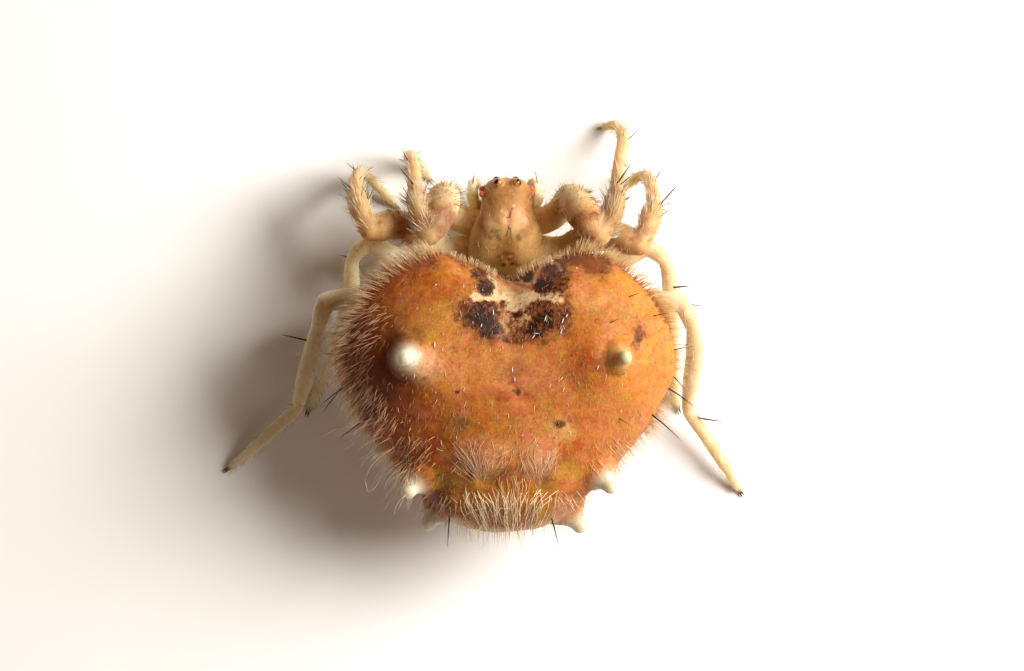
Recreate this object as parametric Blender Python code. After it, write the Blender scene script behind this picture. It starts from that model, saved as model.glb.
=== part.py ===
"""Taczanowskia sextuberculata, a small spider of the orb weavers' family, as a still life-size model.

The spider faces +Y and stands on the floor at z = 0. Every size is in millimetres until a mesh is
written, when it turns into metres. The body is modelled about a point on the floor under the
middle of the abdomen, and an empty carries the whole body to the middle of its own footprint.
"""

import math
import random

import bmesh
import bpy
from mathutils import Vector
from mathutils.bvhtree import BVHTree

MM = 0.001

# Where the empty that carries the body stands, so that the footprint is centred on the origin.
BODY_PLACE = (0.22, -0.71, 0.0)

# Room between two pieces that touch. The whole animal is 6 mm long, so it is narrow.
GAP = 0.05
EYE_GAP = 0.03
WELD = 0.0005

# Abdomen: half of its outline from above, from the front notch round the side to the hind end.
ABDOMEN_OUTLINE = (
    (0.0, 1.72),
    (0.72, 1.99),
    (1.2, 2.16),
    (1.78, 1.98),
    (2.4, 1.47),
    (2.8, 0.72),
    (2.87, 0.2),
    (2.6, -0.42),
    (2.05, -1.2),
    (1.7, -1.62),
    (1.4, -1.92),
    (1.2, -2.17),
    (0.82, -2.42),
    (0.0, -2.56),
)
ABDOMEN_WIDEST_LEVEL = 2.2
ABDOMEN_TOP = 1.32
ABDOMEN_DEPTH_BELOW = 1.72
ABDOMEN_TOP_POWER = 2.25
ABDOMEN_UNDER_POWER = 1.8
ABDOMEN_REAR_FALL = 0.11
ABDOMEN_UNDERCUT = 0.45
ABDOMEN_TURNS = 52
ABDOMEN_RINGS = 22
HUMP_PLACE = (1.62, 0.36)
HUMP_HEIGHT = 0.3
HUMP_SPREAD = 0.7

# Tubercles: side offset, place along the body, level, lean outwards as a direction, base radius,
# tip radius, length and how far to the right the middle of the pair lies.
TUBERCLES = {
    "dorsal": ((1.64, 0.37, 3.3), (0.3, 0.02, 1.0), 0.3, 0.16, 0.46, 0.07),
    "posterior": ((1.26, -1.33, 2.3), (0.56, -0.62, 0.5), 0.27, 0.14, 0.43, 0.07),
    "hind": ((0.99, -2.06, 1.75), (0.6, -0.78, 0.02), 0.25, 0.12, 0.44, -0.03),
}

# Spinnerets on the underside.
SPINNERET_PLACE = (0.0, -1.25)
SPINNERET_RADIUS = 0.33
SPINNERET_TIP_RADIUS = 0.2
SPINNERET_LENGTH = 0.26

# How far to the right of the abdomen's middle the head and thorax lie.
PROSOMA_MIDDLE = 0.05

# Prosoma, from the clypeus back to the pedicel: place, half width, top, underside.
PROSOMA_SECTIONS = (
    (3.38, 0.27, 1.62, 1.26),
    (3.30, 0.36, 1.72, 1.08),
    (3.10, 0.43, 1.84, 0.94),
    (2.85, 0.46, 1.93, 0.82),
    (2.50, 0.61, 1.92, 0.70),
    (2.15, 0.66, 1.80, 0.66),
    (1.80, 0.62, 1.64, 0.68),
    (1.50, 0.46, 1.46, 0.76),
    (1.32, 0.24, 1.30, 0.88),
)
PROSOMA_POWER = 2.3
PROSOMA_SIDES = 24

PEDICEL_ENDS = ((0.0, 1.5, 1.08), (0.0, 0.75, 1.06))
PEDICEL_RADIUS = 0.25

# Eyes: side offset, place along the body and level of the point each eye looks out from, radius.
EYES = {
    "posterior_median": ((0.153, 3.29, 1.7), (0.25, 0.35, 1.0), 0.085),
    "anterior_median": ((0.13, 3.22, 1.34), (0.2, 0.85, -0.45), 0.066),
    "anterior_lateral": ((0.36, 3.19, 1.42), (0.95, 0.5, 0.15), 0.052),
    "posterior_lateral": ((0.37, 3.1, 1.54), (1.0, 0.2, 0.5), 0.052),
}
EYE_SINK = 0.1

CHELICERA_PATH = ((0.19, 2.98, 1.12), (0.2, 3.14, 0.95), (0.19, 3.22, 0.68), (0.17, 3.2, 0.42))
CHELICERA_RADII = (0.15, 0.16, 0.14, 0.07)

PALP_PATH = (
    (0.36, 2.9, 0.96),
    (0.53, 2.98, 1.02),
    (0.55, 3.18, 1.02),
    (0.52, 3.3, 0.8),
    (0.45, 3.32, 0.4),
)
PALP_RADII = (0.12, 0.13, 0.12, 0.13, 0.06)

# Legs: centre lines through the root, trochanter, femur, knee, patella, tibia, metatarsus and
# tarsus. The third number is the height above the floor.
LEG_PATHS = {
    "right_1": (
        (0.42, 2.66, 0.97), (0.80, 2.72, 1.02), (1.03, 2.95, 1.20), (1.15, 3.03, 1.60),
        (1.30, 2.78, 1.98), (1.56, 2.45, 2.14), (1.76, 2.70, 2.10), (1.88, 3.20, 1.75),
        (1.97, 3.67, 1.20), (2.07, 4.10, 0.62), (1.97, 4.32, 0.30), (1.75, 4.28, 0.02),
    ),
    "left_1": (
        (-0.42, 2.66, 0.97), (-0.74, 2.72, 1.02), (-0.92, 2.95, 1.20), (-1.00, 3.06, 1.60),
        (-1.08, 2.82, 1.98), (-1.28, 2.45, 2.16), (-1.42, 2.75, 2.12), (-1.50, 3.23, 1.75),
        (-1.51, 3.58, 1.20), (-1.55, 3.78, 0.60), (-1.42, 3.68, 0.30), (-1.18, 3.40, 0.02),
    ),
    "right_2": (
        (0.45, 2.24, 0.92), (0.95, 2.22, 0.95), (1.29, 2.34, 1.20), (1.80, 2.41, 1.55),
        (2.25, 2.27, 1.82), (2.42, 2.60, 1.82), (2.53, 2.97, 1.52), (2.51, 3.27, 1.10),
        (2.49, 3.43, 0.60), (2.37, 3.45, 0.30), (2.10, 3.22, 0.02),
    ),
    "left_2": (
        (-0.45, 2.24, 0.92), (-0.95, 2.22, 0.95), (-1.29, 2.42, 1.18), (-1.81, 2.60, 1.50),
        (-2.24, 2.51, 1.78), (-2.39, 2.79, 1.80), (-2.51, 3.17, 1.50), (-2.45, 3.40, 1.05),
        (-2.38, 3.50, 0.60), (-2.20, 3.38, 0.32), (-1.75, 2.93, 0.02),
    ),
    "right_3": (
        (0.45, 1.88, 0.90), (0.95, 1.85, 0.85), (1.96, 2.03, 1.02), (2.42, 2.26, 1.12),
        (2.76, 1.97, 1.02), (2.88, 1.33, 0.76), (2.91, 0.58, 0.48), (2.95, -0.08, 0.24),
        (3.06, -0.52, 0.02),
    ),
    "left_3": (
        (-0.45, 1.88, 0.90), (-0.95, 1.85, 0.85), (-1.74, 2.03, 1.02), (-2.24, 2.32, 1.12),
        (-2.52, 2.03, 1.02), (-2.55, 1.42, 0.76), (-2.75, 0.67, 0.48), (-3.03, -0.03, 0.24),
        (-3.26, -0.56, 0.02),
    ),
    "right_4": (
        (0.42, 1.54, 0.92), (0.9, 1.40, 0.80), (1.62, 1.28, 0.95), (2.44, 1.31, 1.30),
        (3.03, 1.30, 1.48), (3.24, 0.62, 1.18), (3.17, -0.53, 0.60), (3.53, -1.03, 0.42),
        (3.89, -1.57, 0.26), (4.13, -1.94, 0.02),
    ),
    "left_4": (
        (-0.42, 1.54, 0.92), (-0.9, 1.40, 0.80), (-1.72, 1.33, 0.95), (-2.56, 1.35, 1.30),
        (-3.00, 1.32, 1.48), (-3.18, 0.62, 1.18), (-3.45, -0.48, 0.60), (-3.84, -0.85, 0.42),
        (-4.30, -1.27, 0.26), (-4.63, -1.53, 0.02),
    ),
}

# Legs: which point of the path is the knee and which ends the tibia.
LEG_JOINTS = {"1": (5, 7), "2": (4, 6), "3": (3, 6), "4": (4, 6)}

# Legs: radii at even steps along the femur, the patella with the tibia, and the metatarsus with
# the tarsus. They hold the short coat of hairs as well as the leg.
LEG_RADII = {
    "1": ((0.26, 0.28, 0.31, 0.29), (0.2, 0.21, 0.21, 0.17), (0.14, 0.15, 0.13, 0.09)),
    "2": ((0.24, 0.26, 0.28, 0.26), (0.19, 0.21, 0.21, 0.17), (0.14, 0.15, 0.13, 0.09)),
    "3": ((0.17, 0.19, 0.20, 0.18), (0.16, 0.18, 0.18, 0.15), (0.13, 0.13, 0.12, 0.08)),
    "4": ((0.17, 0.22, 0.23, 0.20), (0.18, 0.20, 0.20, 0.16), (0.14, 0.15, 0.12, 0.08)),
}
LEG_SIDES = 9
STEPS_PER_SPAN = 3
FOOT_REACH_BELOW = 0.1

# Bristles: thickness at the root, how deep they are sunk, and how far the tip droops to the lie.
BRISTLE_RADIUS = 0.045
BRISTLE_SINK = 0.09
BRISTLE_DROOP = 0.3
BRISTLE_SIDES = 4
BRISTLE_ROOM = 0.1
BRISTLE_SAMPLES = 8

# Rows of bristles round the abdomen: how many, how far down they stand, first and last turn from
# the front in degrees, length on the shoulders and length at the hind end.
ABDOMEN_ROWS = (
    (36, 0.40, 12.0, 174.0, 0.22, 0.34),
    (44, 0.50, 8.0, 176.0, 0.26, 0.36),
    (16, 0.59, 138.0, 176.0, 0.34, 0.36),
)

# The strong dark bristles on one half of the abdomen: turn in degrees, drop and length.
ABDOMEN_SPINES = (
    (64.0, 0.40, 0.36),
    (79.0, 0.42, 0.40),
    (88.0, 0.46, 0.36),
    (96.0, 0.41, 0.52),
    (108.0, 0.42, 0.54),
    (124.0, 0.33, 0.34),
    (163.0, 0.44, 0.44),
    (48.0, 0.27, 0.28),
)

# Bristles on a leg: place along its length from 0 to 1, turn outwards from the top in degrees and
# length.
LEG_BRISTLES = {
    "femur": ((0.55, -35.0, 0.16), (0.66, 30.0, 0.16), (0.78, -20.0, 0.16), (0.88, 40.0, 0.14)),
    "tibia": ((0.28, 60.0, 0.26), (0.5, 20.0, 0.28), (0.68, -50.0, 0.24), (0.9, 45.0, 0.46)),
    "foot": ((0.2, -40.0, 0.24), (0.34, 45.0, 0.26), (0.52, 40.0, 0.36), (0.7, -30.0, 0.2)),
}
LEG_BRISTLE_RADIUS = 0.04
LEG_BRISTLE_SINK = 0.07

FINISHES = {
    "abdomen": ((0.58, 0.22, 0.05), 0.55),
    "carapace": ((0.45, 0.27, 0.10), 0.45),
    "leg": ((0.76, 0.60, 0.34), 0.5),
    "tubercle": ((0.90, 0.84, 0.66), 0.35),
    "eye": ((0.06, 0.02, 0.01), 0.08),
}


def material(name):
    """Give the Principled material of one finish."""
    colour, roughness = FINISHES[name]
    made = bpy.data.materials.new(name)
    made.use_nodes = True
    shader = made.node_tree.nodes["Principled BSDF"]
    shader.inputs["Base Color"].default_value = (*colour, 1.0)
    shader.inputs["Roughness"].default_value = roughness
    shader.inputs["Metallic"].default_value = 0.0
    return made


def make_object(name, rings, finish=None):
    """Close a stack of rings into a body; a ring of one point ends it, other ends are capped."""
    form = bmesh.new()
    stack = [[form.verts.new(Vector(point) * MM) for point in ring] for ring in rings]
    for lower, upper in zip(stack, stack[1:]):
        bridge(form, lower, upper)
    for end in (stack[0], stack[-1]):
        if len(end) > 2:
            form.faces.new(end)
    bmesh.ops.triangulate(form, faces=form.faces[:])
    bmesh.ops.recalc_face_normals(form, faces=form.faces[:])
    mesh = bpy.data.meshes.new(name)
    form.to_mesh(mesh)
    form.free()
    made = bpy.data.objects.new(name, mesh)
    bpy.context.scene.collection.objects.link(made)
    if finish:
        mesh.materials.append(material(finish))
    return made


def bridge(form, lower, upper):
    """Join two rings with faces, one of which may be a single point."""
    count = max(len(lower), len(upper))
    for index in range(count):
        after = (index + 1) % count
        corners = [lower[index % len(lower)], lower[after % len(lower)]]
        corners += [upper[after % len(upper)], upper[index % len(upper)]]
        form.faces.new(list(dict.fromkeys(corners)))


def catmull_rom(before, start, end, after, share):
    """Place a point on the smooth curve that runs from start to end."""
    twice = share * share
    thrice = twice * share
    return 0.5 * (
        2.0 * start
        + (end - before) * share
        + (2.0 * before - 5.0 * start + 4.0 * end - after) * twice
        + (3.0 * start - before - 3.0 * end + after) * thrice
    )


def smooth_line(points, steps):
    """Sample a smooth curve through the points, with a number of steps for each span."""
    knots = [Vector(point) for point in points]
    knots.insert(0, 2.0 * knots[0] - knots[1])
    knots.append(2.0 * knots[-1] - knots[-2])
    line = []
    for index in range(1, len(knots) - 2):
        for step in range(steps):
            line.append(catmull_rom(*knots[index - 1:index + 3], step / steps))
    line.append(knots[-2])
    return line


def sweep_frames(line):
    """Carry a pair of side directions along a line without twist."""
    tangents = []
    for index, point in enumerate(line):
        ahead = line[min(index + 1, len(line) - 1)]
        behind = line[max(index - 1, 0)]
        tangents.append((ahead - behind).normalized())
    side = tangents[0].cross(Vector((0.0, 0.0, 1.0))).normalized()
    frames = []
    for tangent in tangents:
        side = (side - tangent * side.dot(tangent)).normalized()
        frames.append((tangent, side, tangent.cross(side)))
    return frames


def ring_round(centre, frame, radius, sides):
    """Place a ring of points about a point of a swept line."""
    _, side, up = frame
    turns = [math.tau * index / sides for index in range(sides)]
    return [centre + (side * math.cos(turn) + up * math.sin(turn)) * radius for turn in turns]


def radius_at(radii, place):
    """Radius at a place from 0 to 1 along a tube whose radii stand at even steps."""
    reach = place * (len(radii) - 1)
    low = min(int(reach), len(radii) - 2)
    share = eased(reach - low, 0.0, 1.0)
    return radii[low] + (radii[low + 1] - radii[low]) * share


def tube(name, points, radii, sides, steps, finish=None):
    """Sweep a round tube with domed ends along a smooth curve through the points."""
    line = smooth_line(points, steps)
    frames = sweep_frames(line)
    rings = []
    for index, (centre, frame) in enumerate(zip(line, frames)):
        radius = radius_at(radii, index / (len(line) - 1))
        rings.append(ring_round(centre, frame, radius, sides))
    rings[0:0] = dome(line[0], frames[0], -radii[0], sides)
    rings.extend(reversed(dome(line[-1], frames[-1], radii[-1], sides)))
    return make_object(name, rings, finish)


def dome(centre, frame, reach, sides):
    """Give the point and the ring that round off the end of a tube."""
    tangent = frame[0]
    radius = abs(reach)
    tip = [centre + tangent * reach * 0.8]
    shoulder = ring_round(centre + tangent * reach * 0.5, frame, radius * 0.75, sides)
    return [tip, shoulder]


def combine(target, other, operation):
    """Apply one exact Boolean to an object and keep its largest closed surface."""
    modifier = target.modifiers.new("combine", "BOOLEAN")
    modifier.operation = operation
    modifier.solver = "EXACT"
    if isinstance(other, bpy.types.Collection):
        modifier.operand_type = "COLLECTION"
        modifier.collection = other
    else:
        modifier.object = other
    graph = bpy.context.evaluated_depsgraph_get()
    result = bpy.data.meshes.new_from_object(target.evaluated_get(graph))
    target.modifiers.remove(modifier)
    keep_largest(result)
    target.data = result


def island_of(seed, seen):
    """Collect the faces that are joined to one face."""
    island = [seed]
    seen.add(seed)
    for face in island:
        for edge in face.edges:
            for near in edge.link_faces:
                if near not in seen:
                    seen.add(near)
                    island.append(near)
    return island


def keep_largest(mesh):
    """Drop all but the largest connected surface of a mesh, and triangulate it."""
    form = bmesh.new()
    form.from_mesh(mesh)
    bmesh.ops.dissolve_degenerate(form, edges=form.edges[:], dist=WELD * MM)
    seen = set()
    islands = [island_of(face, seen) for face in form.faces if face not in seen]
    largest = max(islands, key=lambda island: sum(face.calc_area() for face in island))
    kept = set(largest)
    loose = [face for face in form.faces if face not in kept]
    bmesh.ops.delete(form, geom=loose, context="FACES")
    bmesh.ops.triangulate(form, faces=form.faces[:])
    form.to_mesh(mesh)
    form.free()


def inflated(source, amount):
    """Copy an object and push its surface outwards, as a cutter for what grows from it."""
    cutter = source.copy()
    cutter.data = source.data.copy()
    bpy.context.scene.collection.objects.link(cutter)
    normals = [vertex.normal.copy() for vertex in cutter.data.vertices]
    for vertex, normal in zip(cutter.data.vertices, normals):
        vertex.co += normal * amount * MM
    return cutter


def fit_against(piece, parent, gap=GAP):
    """Cut a piece where it enters its parent, so that the two meet face to face."""
    cutter = inflated(parent, gap)
    combine(piece, cutter, "DIFFERENCE")
    bpy.data.objects.remove(cutter)


def surface_point(parent, place, direction):
    """Find where a line from a place inside a body leaves it, in millimetres."""
    form = bmesh.new()
    form.from_mesh(parent.data)
    tree = BVHTree.FromBMesh(form)
    start = Vector(place) * MM - Vector(direction).normalized() * 0.6 * MM
    hit = tree.ray_cast(start, Vector(direction).normalized())
    form.free()
    return hit[0] / MM


def outline_reach(turn):
    """Distance from the middle of the abdomen to its outline, with the turn measured from +Y."""
    angles = [math.atan2(point[0], point[1]) for point in ABDOMEN_OUTLINE]
    reaches = [math.hypot(*point) for point in ABDOMEN_OUTLINE]
    angles = [-angles[1]] + angles + [math.tau - angles[-2]]
    reaches = [reaches[1]] + reaches + [reaches[-2]]
    turn = abs((turn + math.pi) % math.tau - math.pi)
    last = len(angles) - 3
    index = max(place for place in range(1, last + 1) if angles[place] <= turn + 1e-9)
    share = (turn - angles[index]) / (angles[index + 1] - angles[index])
    width = angles[index + 1] - angles[index]
    slope_in = (reaches[index + 1] - reaches[index - 1]) / (angles[index + 1] - angles[index - 1])
    slope_out = (reaches[index + 2] - reaches[index]) / (angles[index + 2] - angles[index])
    twice = share * share
    thrice = twice * share
    return (
        (2.0 * thrice - 3.0 * twice + 1.0) * reaches[index]
        + (thrice - 2.0 * twice + share) * width * slope_in
        + (3.0 * twice - 2.0 * thrice) * reaches[index + 1]
        + (thrice - twice) * width * slope_out
    )


def eased(value, low, high):
    """Rise smoothly from 0 at low to 1 at high."""
    share = min(max((value - low) / (high - low), 0.0), 1.0)
    return share * share * (3.0 - 2.0 * share)


def abdomen_point(turn, drop):
    """Point of the abdomen; turn runs round it from the front and drop from top 0 to bottom 1."""
    upright = math.cos(math.pi * drop)
    power = ABDOMEN_TOP_POWER if upright > 0.0 else ABDOMEN_UNDER_POWER
    level = math.copysign(abs(upright) ** (2.0 / power), upright)
    reach = math.sin(math.pi * drop) ** (2.0 / power) * outline_reach(turn)
    across = reach * math.sin(turn)
    along = reach * math.cos(turn)
    height = level * (ABDOMEN_TOP if level > 0.0 else ABDOMEN_DEPTH_BELOW)
    from_hump = math.hypot(abs(across) - HUMP_PLACE[0], along - HUMP_PLACE[1]) / HUMP_SPREAD
    height += HUMP_HEIGHT * math.exp(-from_hump * from_hump) * max(level, 0.0)
    height += ABDOMEN_REAR_FALL * along
    front = eased(along, -1.2, 1.4)
    along += ABDOMEN_UNDERCUT * min(height, 0.0) * front
    return Vector((across, along, ABDOMEN_WIDEST_LEVEL + height))


def make_abdomen():
    """Close the heart-shaped abdomen, which overhangs the hind part of the carapace."""
    rings = []
    for ring in range(ABDOMEN_RINGS + 1):
        drop = ring / ABDOMEN_RINGS
        turns = [0.0] if ring in (0, ABDOMEN_RINGS) else [
            math.tau * index / ABDOMEN_TURNS for index in range(ABDOMEN_TURNS)
        ]
        rings.append([abdomen_point(turn, drop) for turn in turns])
    return make_object("abdomen", rings, "abdomen")


def make_prosoma():
    """Loft the carapace and the sternum below it as one shell."""
    rings = []
    for place, half_width, top, bottom in PROSOMA_SECTIONS:
        middle = 0.5 * (top + bottom)
        half_height = 0.5 * (top - bottom)
        ring = []
        for index in range(PROSOMA_SIDES):
            turn = math.tau * index / PROSOMA_SIDES
            across = math.copysign(abs(math.cos(turn)) ** (2.0 / PROSOMA_POWER), math.cos(turn))
            up = math.copysign(abs(math.sin(turn)) ** (2.0 / PROSOMA_POWER), math.sin(turn))
            across = PROSOMA_MIDDLE + across * half_width
            ring.append(Vector((across, place, middle + up * half_height)))
        rings.append(ring)
    first = PROSOMA_SECTIONS[0]
    last = PROSOMA_SECTIONS[-1]
    rings.insert(0, [Vector((PROSOMA_MIDDLE, first[0] + 0.04, 0.5 * (first[2] + first[3])))])
    rings.append([Vector((PROSOMA_MIDDLE, last[0] - 0.05, 0.5 * (last[2] + last[3])))])
    return make_object("prosoma", rings, "carapace")


def mirrored(point, side, middle=0.0):
    """Put a place given for the right side on either side of a middle line."""
    return Vector((middle + point[0] * side, point[1], point[2]))


def make_tubercle(kind, side, abdomen):
    """Round off one conical tubercle on the surface of the abdomen."""
    place, lean, base_radius, tip_radius, length, middle = TUBERCLES[kind]
    direction = mirrored(lean, side).normalized()
    root = surface_point(abdomen, mirrored(place, side, middle), direction)
    reaches = (-0.35, -0.05, 0.45 * length, length - 0.7 * tip_radius)
    points = [root + direction * reach for reach in reaches]
    radii = (base_radius, base_radius, 0.5 * (base_radius + tip_radius), tip_radius)
    name = f"tubercle_{kind}_{'right' if side > 0 else 'left'}"
    made = tube(name, points, radii, 12, 2, "tubercle")
    fit_against(made, abdomen)
    return made


def make_bristle(root, direction, lie, length, radius, sink):
    """Taper one bristle from its sunk root to a tip that droops towards its lie."""
    frame = (direction, *side_directions(direction))
    middle = root + direction * length * 0.5 + lie * length * 0.3 * BRISTLE_DROOP
    tip = root + direction * length + lie * length * BRISTLE_DROOP
    rings = [
        ring_round(root - direction * sink, frame, radius, BRISTLE_SIDES),
        ring_round(middle, frame, radius * 0.65, BRISTLE_SIDES),
        [tip],
    ]
    return make_object("bristle", rings)


def surroundings(parent):
    """Gather the surfaces of every piece but one, to keep its bristles clear of them."""
    corners = []
    faces = []
    for piece in bpy.data.objects:
        if piece.type != "MESH" or piece == parent:
            continue
        first = len(corners)
        corners += [vertex.co.copy() for vertex in piece.data.vertices]
        faces += [[first + corner for corner in face.vertices] for face in piece.data.polygons]
    return BVHTree.FromPolygons(corners, faces)


def bristle_line(root, direction, lie, length):
    """Sample the middle line of a bristle from its root to its tip."""
    shares = [index / BRISTLE_SAMPLES for index in range(BRISTLE_SAMPLES + 1)]
    return [
        root + (direction + lie * BRISTLE_DROOP * share) * length * share for share in shares
    ]


def stands_clear(line, others, neighbours):
    """Tell whether a bristle passes every other piece and bristle with room to spare."""
    for place in line:
        if others.find_nearest(place * MM)[3] < BRISTLE_ROOM * MM:
            return False
        if any((place - other).length < BRISTLE_ROOM for other in neighbours):
            return False
    return True


def fuse_bristles(parent, plans, radius, sink):
    """Grow a crop of bristles and join it to the piece that it stands on."""
    others = surroundings(parent)
    crop = bpy.data.collections.new("bristles")
    bpy.context.scene.collection.children.link(crop)
    neighbours = []
    for plan in plans:
        line = bristle_line(*plan)
        if stands_clear(line, others, neighbours):
            neighbours += line
            crop.objects.link(make_bristle(*plan, radius, sink))
    combine(parent, crop, "UNION")
    for bristle in list(crop.objects):
        bpy.data.objects.remove(bristle)
    bpy.data.collections.remove(crop)


def abdomen_normal(turn, drop):
    """Outward direction of the abdomen's surface."""
    step = 0.02
    round_it = abdomen_point(turn + step, drop) - abdomen_point(turn - step, drop)
    down_it = abdomen_point(turn, drop + step) - abdomen_point(turn, drop - step)
    return round_it.cross(down_it).normalized()


def abdomen_bristles():
    """Plan the fringe of pale bristles and the strong dark ones round the abdomen."""
    rng = random.Random(11)
    places = []
    for count, drop, first, last, front_length, hind_length in ABDOMEN_ROWS:
        for index in range(count // 2):
            share = (index + 0.5) / (count // 2)
            length = front_length + (hind_length - front_length) * share
            for side in (-1.0, 1.0):
                turn = first + (last - first) * share + rng.uniform(-2.0, 2.0)
                spread = drop + rng.uniform(-0.02, 0.02)
                places.append((side * turn, spread, length * rng.uniform(0.85, 1.15)))
    for turn, drop, length in ABDOMEN_SPINES:
        places.insert(0, (turn, drop, length))
        places.insert(0, (-turn, drop + 0.01, length))
    plans = []
    for turn, drop, length in places:
        turn = math.radians(turn)
        root = abdomen_point(turn, drop)
        lie = Vector((0.35 * math.sin(turn), -0.6, 0.1)).normalized()
        direction = (abdomen_normal(turn, drop) + lie * 0.35).normalized()
        plans.append((root, direction, lie, length))
    return plans


def make_spinnerets(abdomen):
    """Cone of spinnerets under the hind part of the abdomen."""
    across, along = SPINNERET_PLACE
    root = surface_point(abdomen, (across, along, 1.2), (0.0, 0.0, -1.0))
    lean = Vector((0.0, -0.35, -1.0)).normalized()
    points = [root + lean * reach for reach in (-0.3, 0.0, SPINNERET_LENGTH - 0.15)]
    radii = (SPINNERET_RADIUS, SPINNERET_RADIUS, SPINNERET_TIP_RADIUS)
    made = tube("spinnerets", points, radii, 12, 2, "carapace")
    fit_against(made, abdomen)


def make_eye(kind, side, prosoma):
    """Set one eye, a small ball, in the head."""
    place, gaze, radius = EYES[kind]
    direction = mirrored(gaze, side).normalized()
    root = surface_point(prosoma, mirrored(place, side, PROSOMA_MIDDLE), direction)
    centre = root - direction * radius * EYE_SINK
    rings = []
    for index in range(7):
        lift = math.pi * index / 6
        frame = (direction, *side_directions(direction))
        middle = centre + direction * radius * math.cos(lift)
        ring = ring_round(middle, frame, radius * math.sin(lift), 10)
        rings.append([middle] if index in (0, 6) else ring)
    name = f"eye_{kind}_{'right' if side > 0 else 'left'}"
    made = make_object(name, rings, "eye")
    fit_against(made, prosoma, EYE_GAP)


def side_directions(direction):
    """Give two directions square to one direction and to each other."""
    side = direction.cross(Vector((0.0, 1.0, 0.1))).normalized()
    return side, direction.cross(side)


def make_mouthparts(side, prosoma):
    """Hang one chelicera and one palp from the head, and give the palp."""
    label = "right" if side > 0 else "left"
    chelicera_line = [mirrored(point, side, PROSOMA_MIDDLE) for point in CHELICERA_PATH]
    chelicera = tube(f"chelicera_{label}", chelicera_line, CHELICERA_RADII, 12, 3, "carapace")
    fit_against(chelicera, prosoma)
    palp_line = [mirrored(point, side, PROSOMA_MIDDLE) for point in PALP_PATH]
    palp = tube(f"palp_{label}", palp_line, PALP_RADII, 9, 3, "leg")
    fit_against(palp, prosoma)
    fit_against(palp, chelicera)
    return palp


def leg_bristles(part, points, radii, side):
    """Plan the bristles of one length of a leg, turned outwards from its upper side."""
    line = smooth_line(points, STEPS_PER_SPAN)
    frames = sweep_frames(line)
    plans = []
    for place, turn, length in LEG_BRISTLES[part]:
        index = round(place * (len(line) - 1))
        tangent = frames[index][0]
        dorsal = Vector((0.0, 0.0, 1.0)) + tangent.orthogonal() * 0.001
        dorsal = (dorsal - tangent * dorsal.dot(tangent)).normalized()
        outer = dorsal.cross(tangent) * side
        outward = dorsal * math.cos(math.radians(turn)) + outer * math.sin(math.radians(turn))
        root = line[index] + outward * radius_at(radii, index / (len(line) - 1))
        direction = (outward + tangent * 0.55).normalized()
        plans.append((root, direction, tangent, length))
    return plans


def make_leg(label, prosoma, neighbour):
    """Build a leg as femur, patella with tibia, and metatarsus with tarsus; plan its bristles."""
    number = label[-1]
    side = 1.0 if label.startswith("right") else -1.0
    points = [Vector(point) for point in LEG_PATHS[label]]
    points.append(points[-1] + (points[-1] - points[-2]).normalized() * FOOT_REACH_BELOW)
    knee, shin_end = LEG_JOINTS[number]
    spans = {
        "femur": points[:knee + 1],
        "tibia": points[knee:shin_end + 1],
        "foot": points[shin_end:],
    }
    parent = prosoma
    built = []
    for (part, span), radii in zip(spans.items(), LEG_RADII[number]):
        made = tube(f"leg_{label}_{part}", span, radii, LEG_SIDES, STEPS_PER_SPAN, "leg")
        if part == "foot":
            flatten_foot(made)
        fit_against(made, parent)
        if part == "femur":
            fit_against(made, neighbour)
        parent = made
        built.append((made, leg_bristles(part, span, radii, side)))
    return built


def flatten_foot(foot):
    """Cut the tip of a tarsus level with the floor, which leaves a small flat to stand on."""
    form = bmesh.new()
    form.from_mesh(foot.data)
    everything = form.verts[:] + form.edges[:] + form.faces[:]
    cut = bmesh.ops.bisect_plane(
        form, geom=everything, plane_co=(0, 0, 0), plane_no=(0, 0, 1), clear_inner=True
    )
    edges = [item for item in cut["geom_cut"] if isinstance(item, bmesh.types.BMEdge)]
    bmesh.ops.holes_fill(form, edges=edges, sides=0)
    bmesh.ops.triangulate(form, faces=form.faces[:])
    bmesh.ops.recalc_face_normals(form, faces=form.faces[:])
    form.to_mesh(foot.data)
    form.free()


def make_pedicel(prosoma, abdomen):
    """Join the two halves of the body with the short stalk between them."""
    start, end = (Vector(point) for point in PEDICEL_ENDS)
    points = (start, start.lerp(end, 0.5), end)
    made = tube("pedicel", points, (PEDICEL_RADIUS,) * 3, 12, 2, "carapace")
    fit_against(made, prosoma)
    fit_against(made, abdomen)


def main():
    """Build the spider, grow its bristles and stand it on the floor."""
    for item in list(bpy.data.objects):
        bpy.data.objects.remove(item)
    abdomen = make_abdomen()
    prosoma = make_prosoma()
    make_pedicel(prosoma, abdomen)
    make_spinnerets(abdomen)
    leg_pieces = []
    for side in (-1, 1):
        for kind in TUBERCLES:
            make_tubercle(kind, side, abdomen)
        for kind in EYES:
            make_eye(kind, side, prosoma)
        neighbour = make_mouthparts(side, prosoma)
        for number in LEG_RADII:
            leg = make_leg(f"{'right' if side > 0 else 'left'}_{number}", prosoma, neighbour)
            neighbour = leg[0][0]
            leg_pieces += leg
    for piece, plans in leg_pieces:
        fuse_bristles(piece, plans, LEG_BRISTLE_RADIUS, LEG_BRISTLE_SINK)
    fuse_bristles(abdomen, abdomen_bristles(), BRISTLE_RADIUS, BRISTLE_SINK)
    carrier = bpy.data.objects.new("spider", None)
    carrier.location = Vector(BODY_PLACE) * MM
    bpy.context.scene.collection.objects.link(carrier)
    for piece in bpy.data.objects:
        if piece.type == "MESH":
            piece.parent = carrier
            piece.data.shade_smooth()


main()
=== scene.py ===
"""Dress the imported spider, Taczanowskia sextuberculata, as the living animal looks.

Shapes are worked out in millimetres about a point on the floor under the middle of the abdomen,
and turned into metres in the frame's own place when a piece is made. The spider faces +Y.
"""

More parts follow.
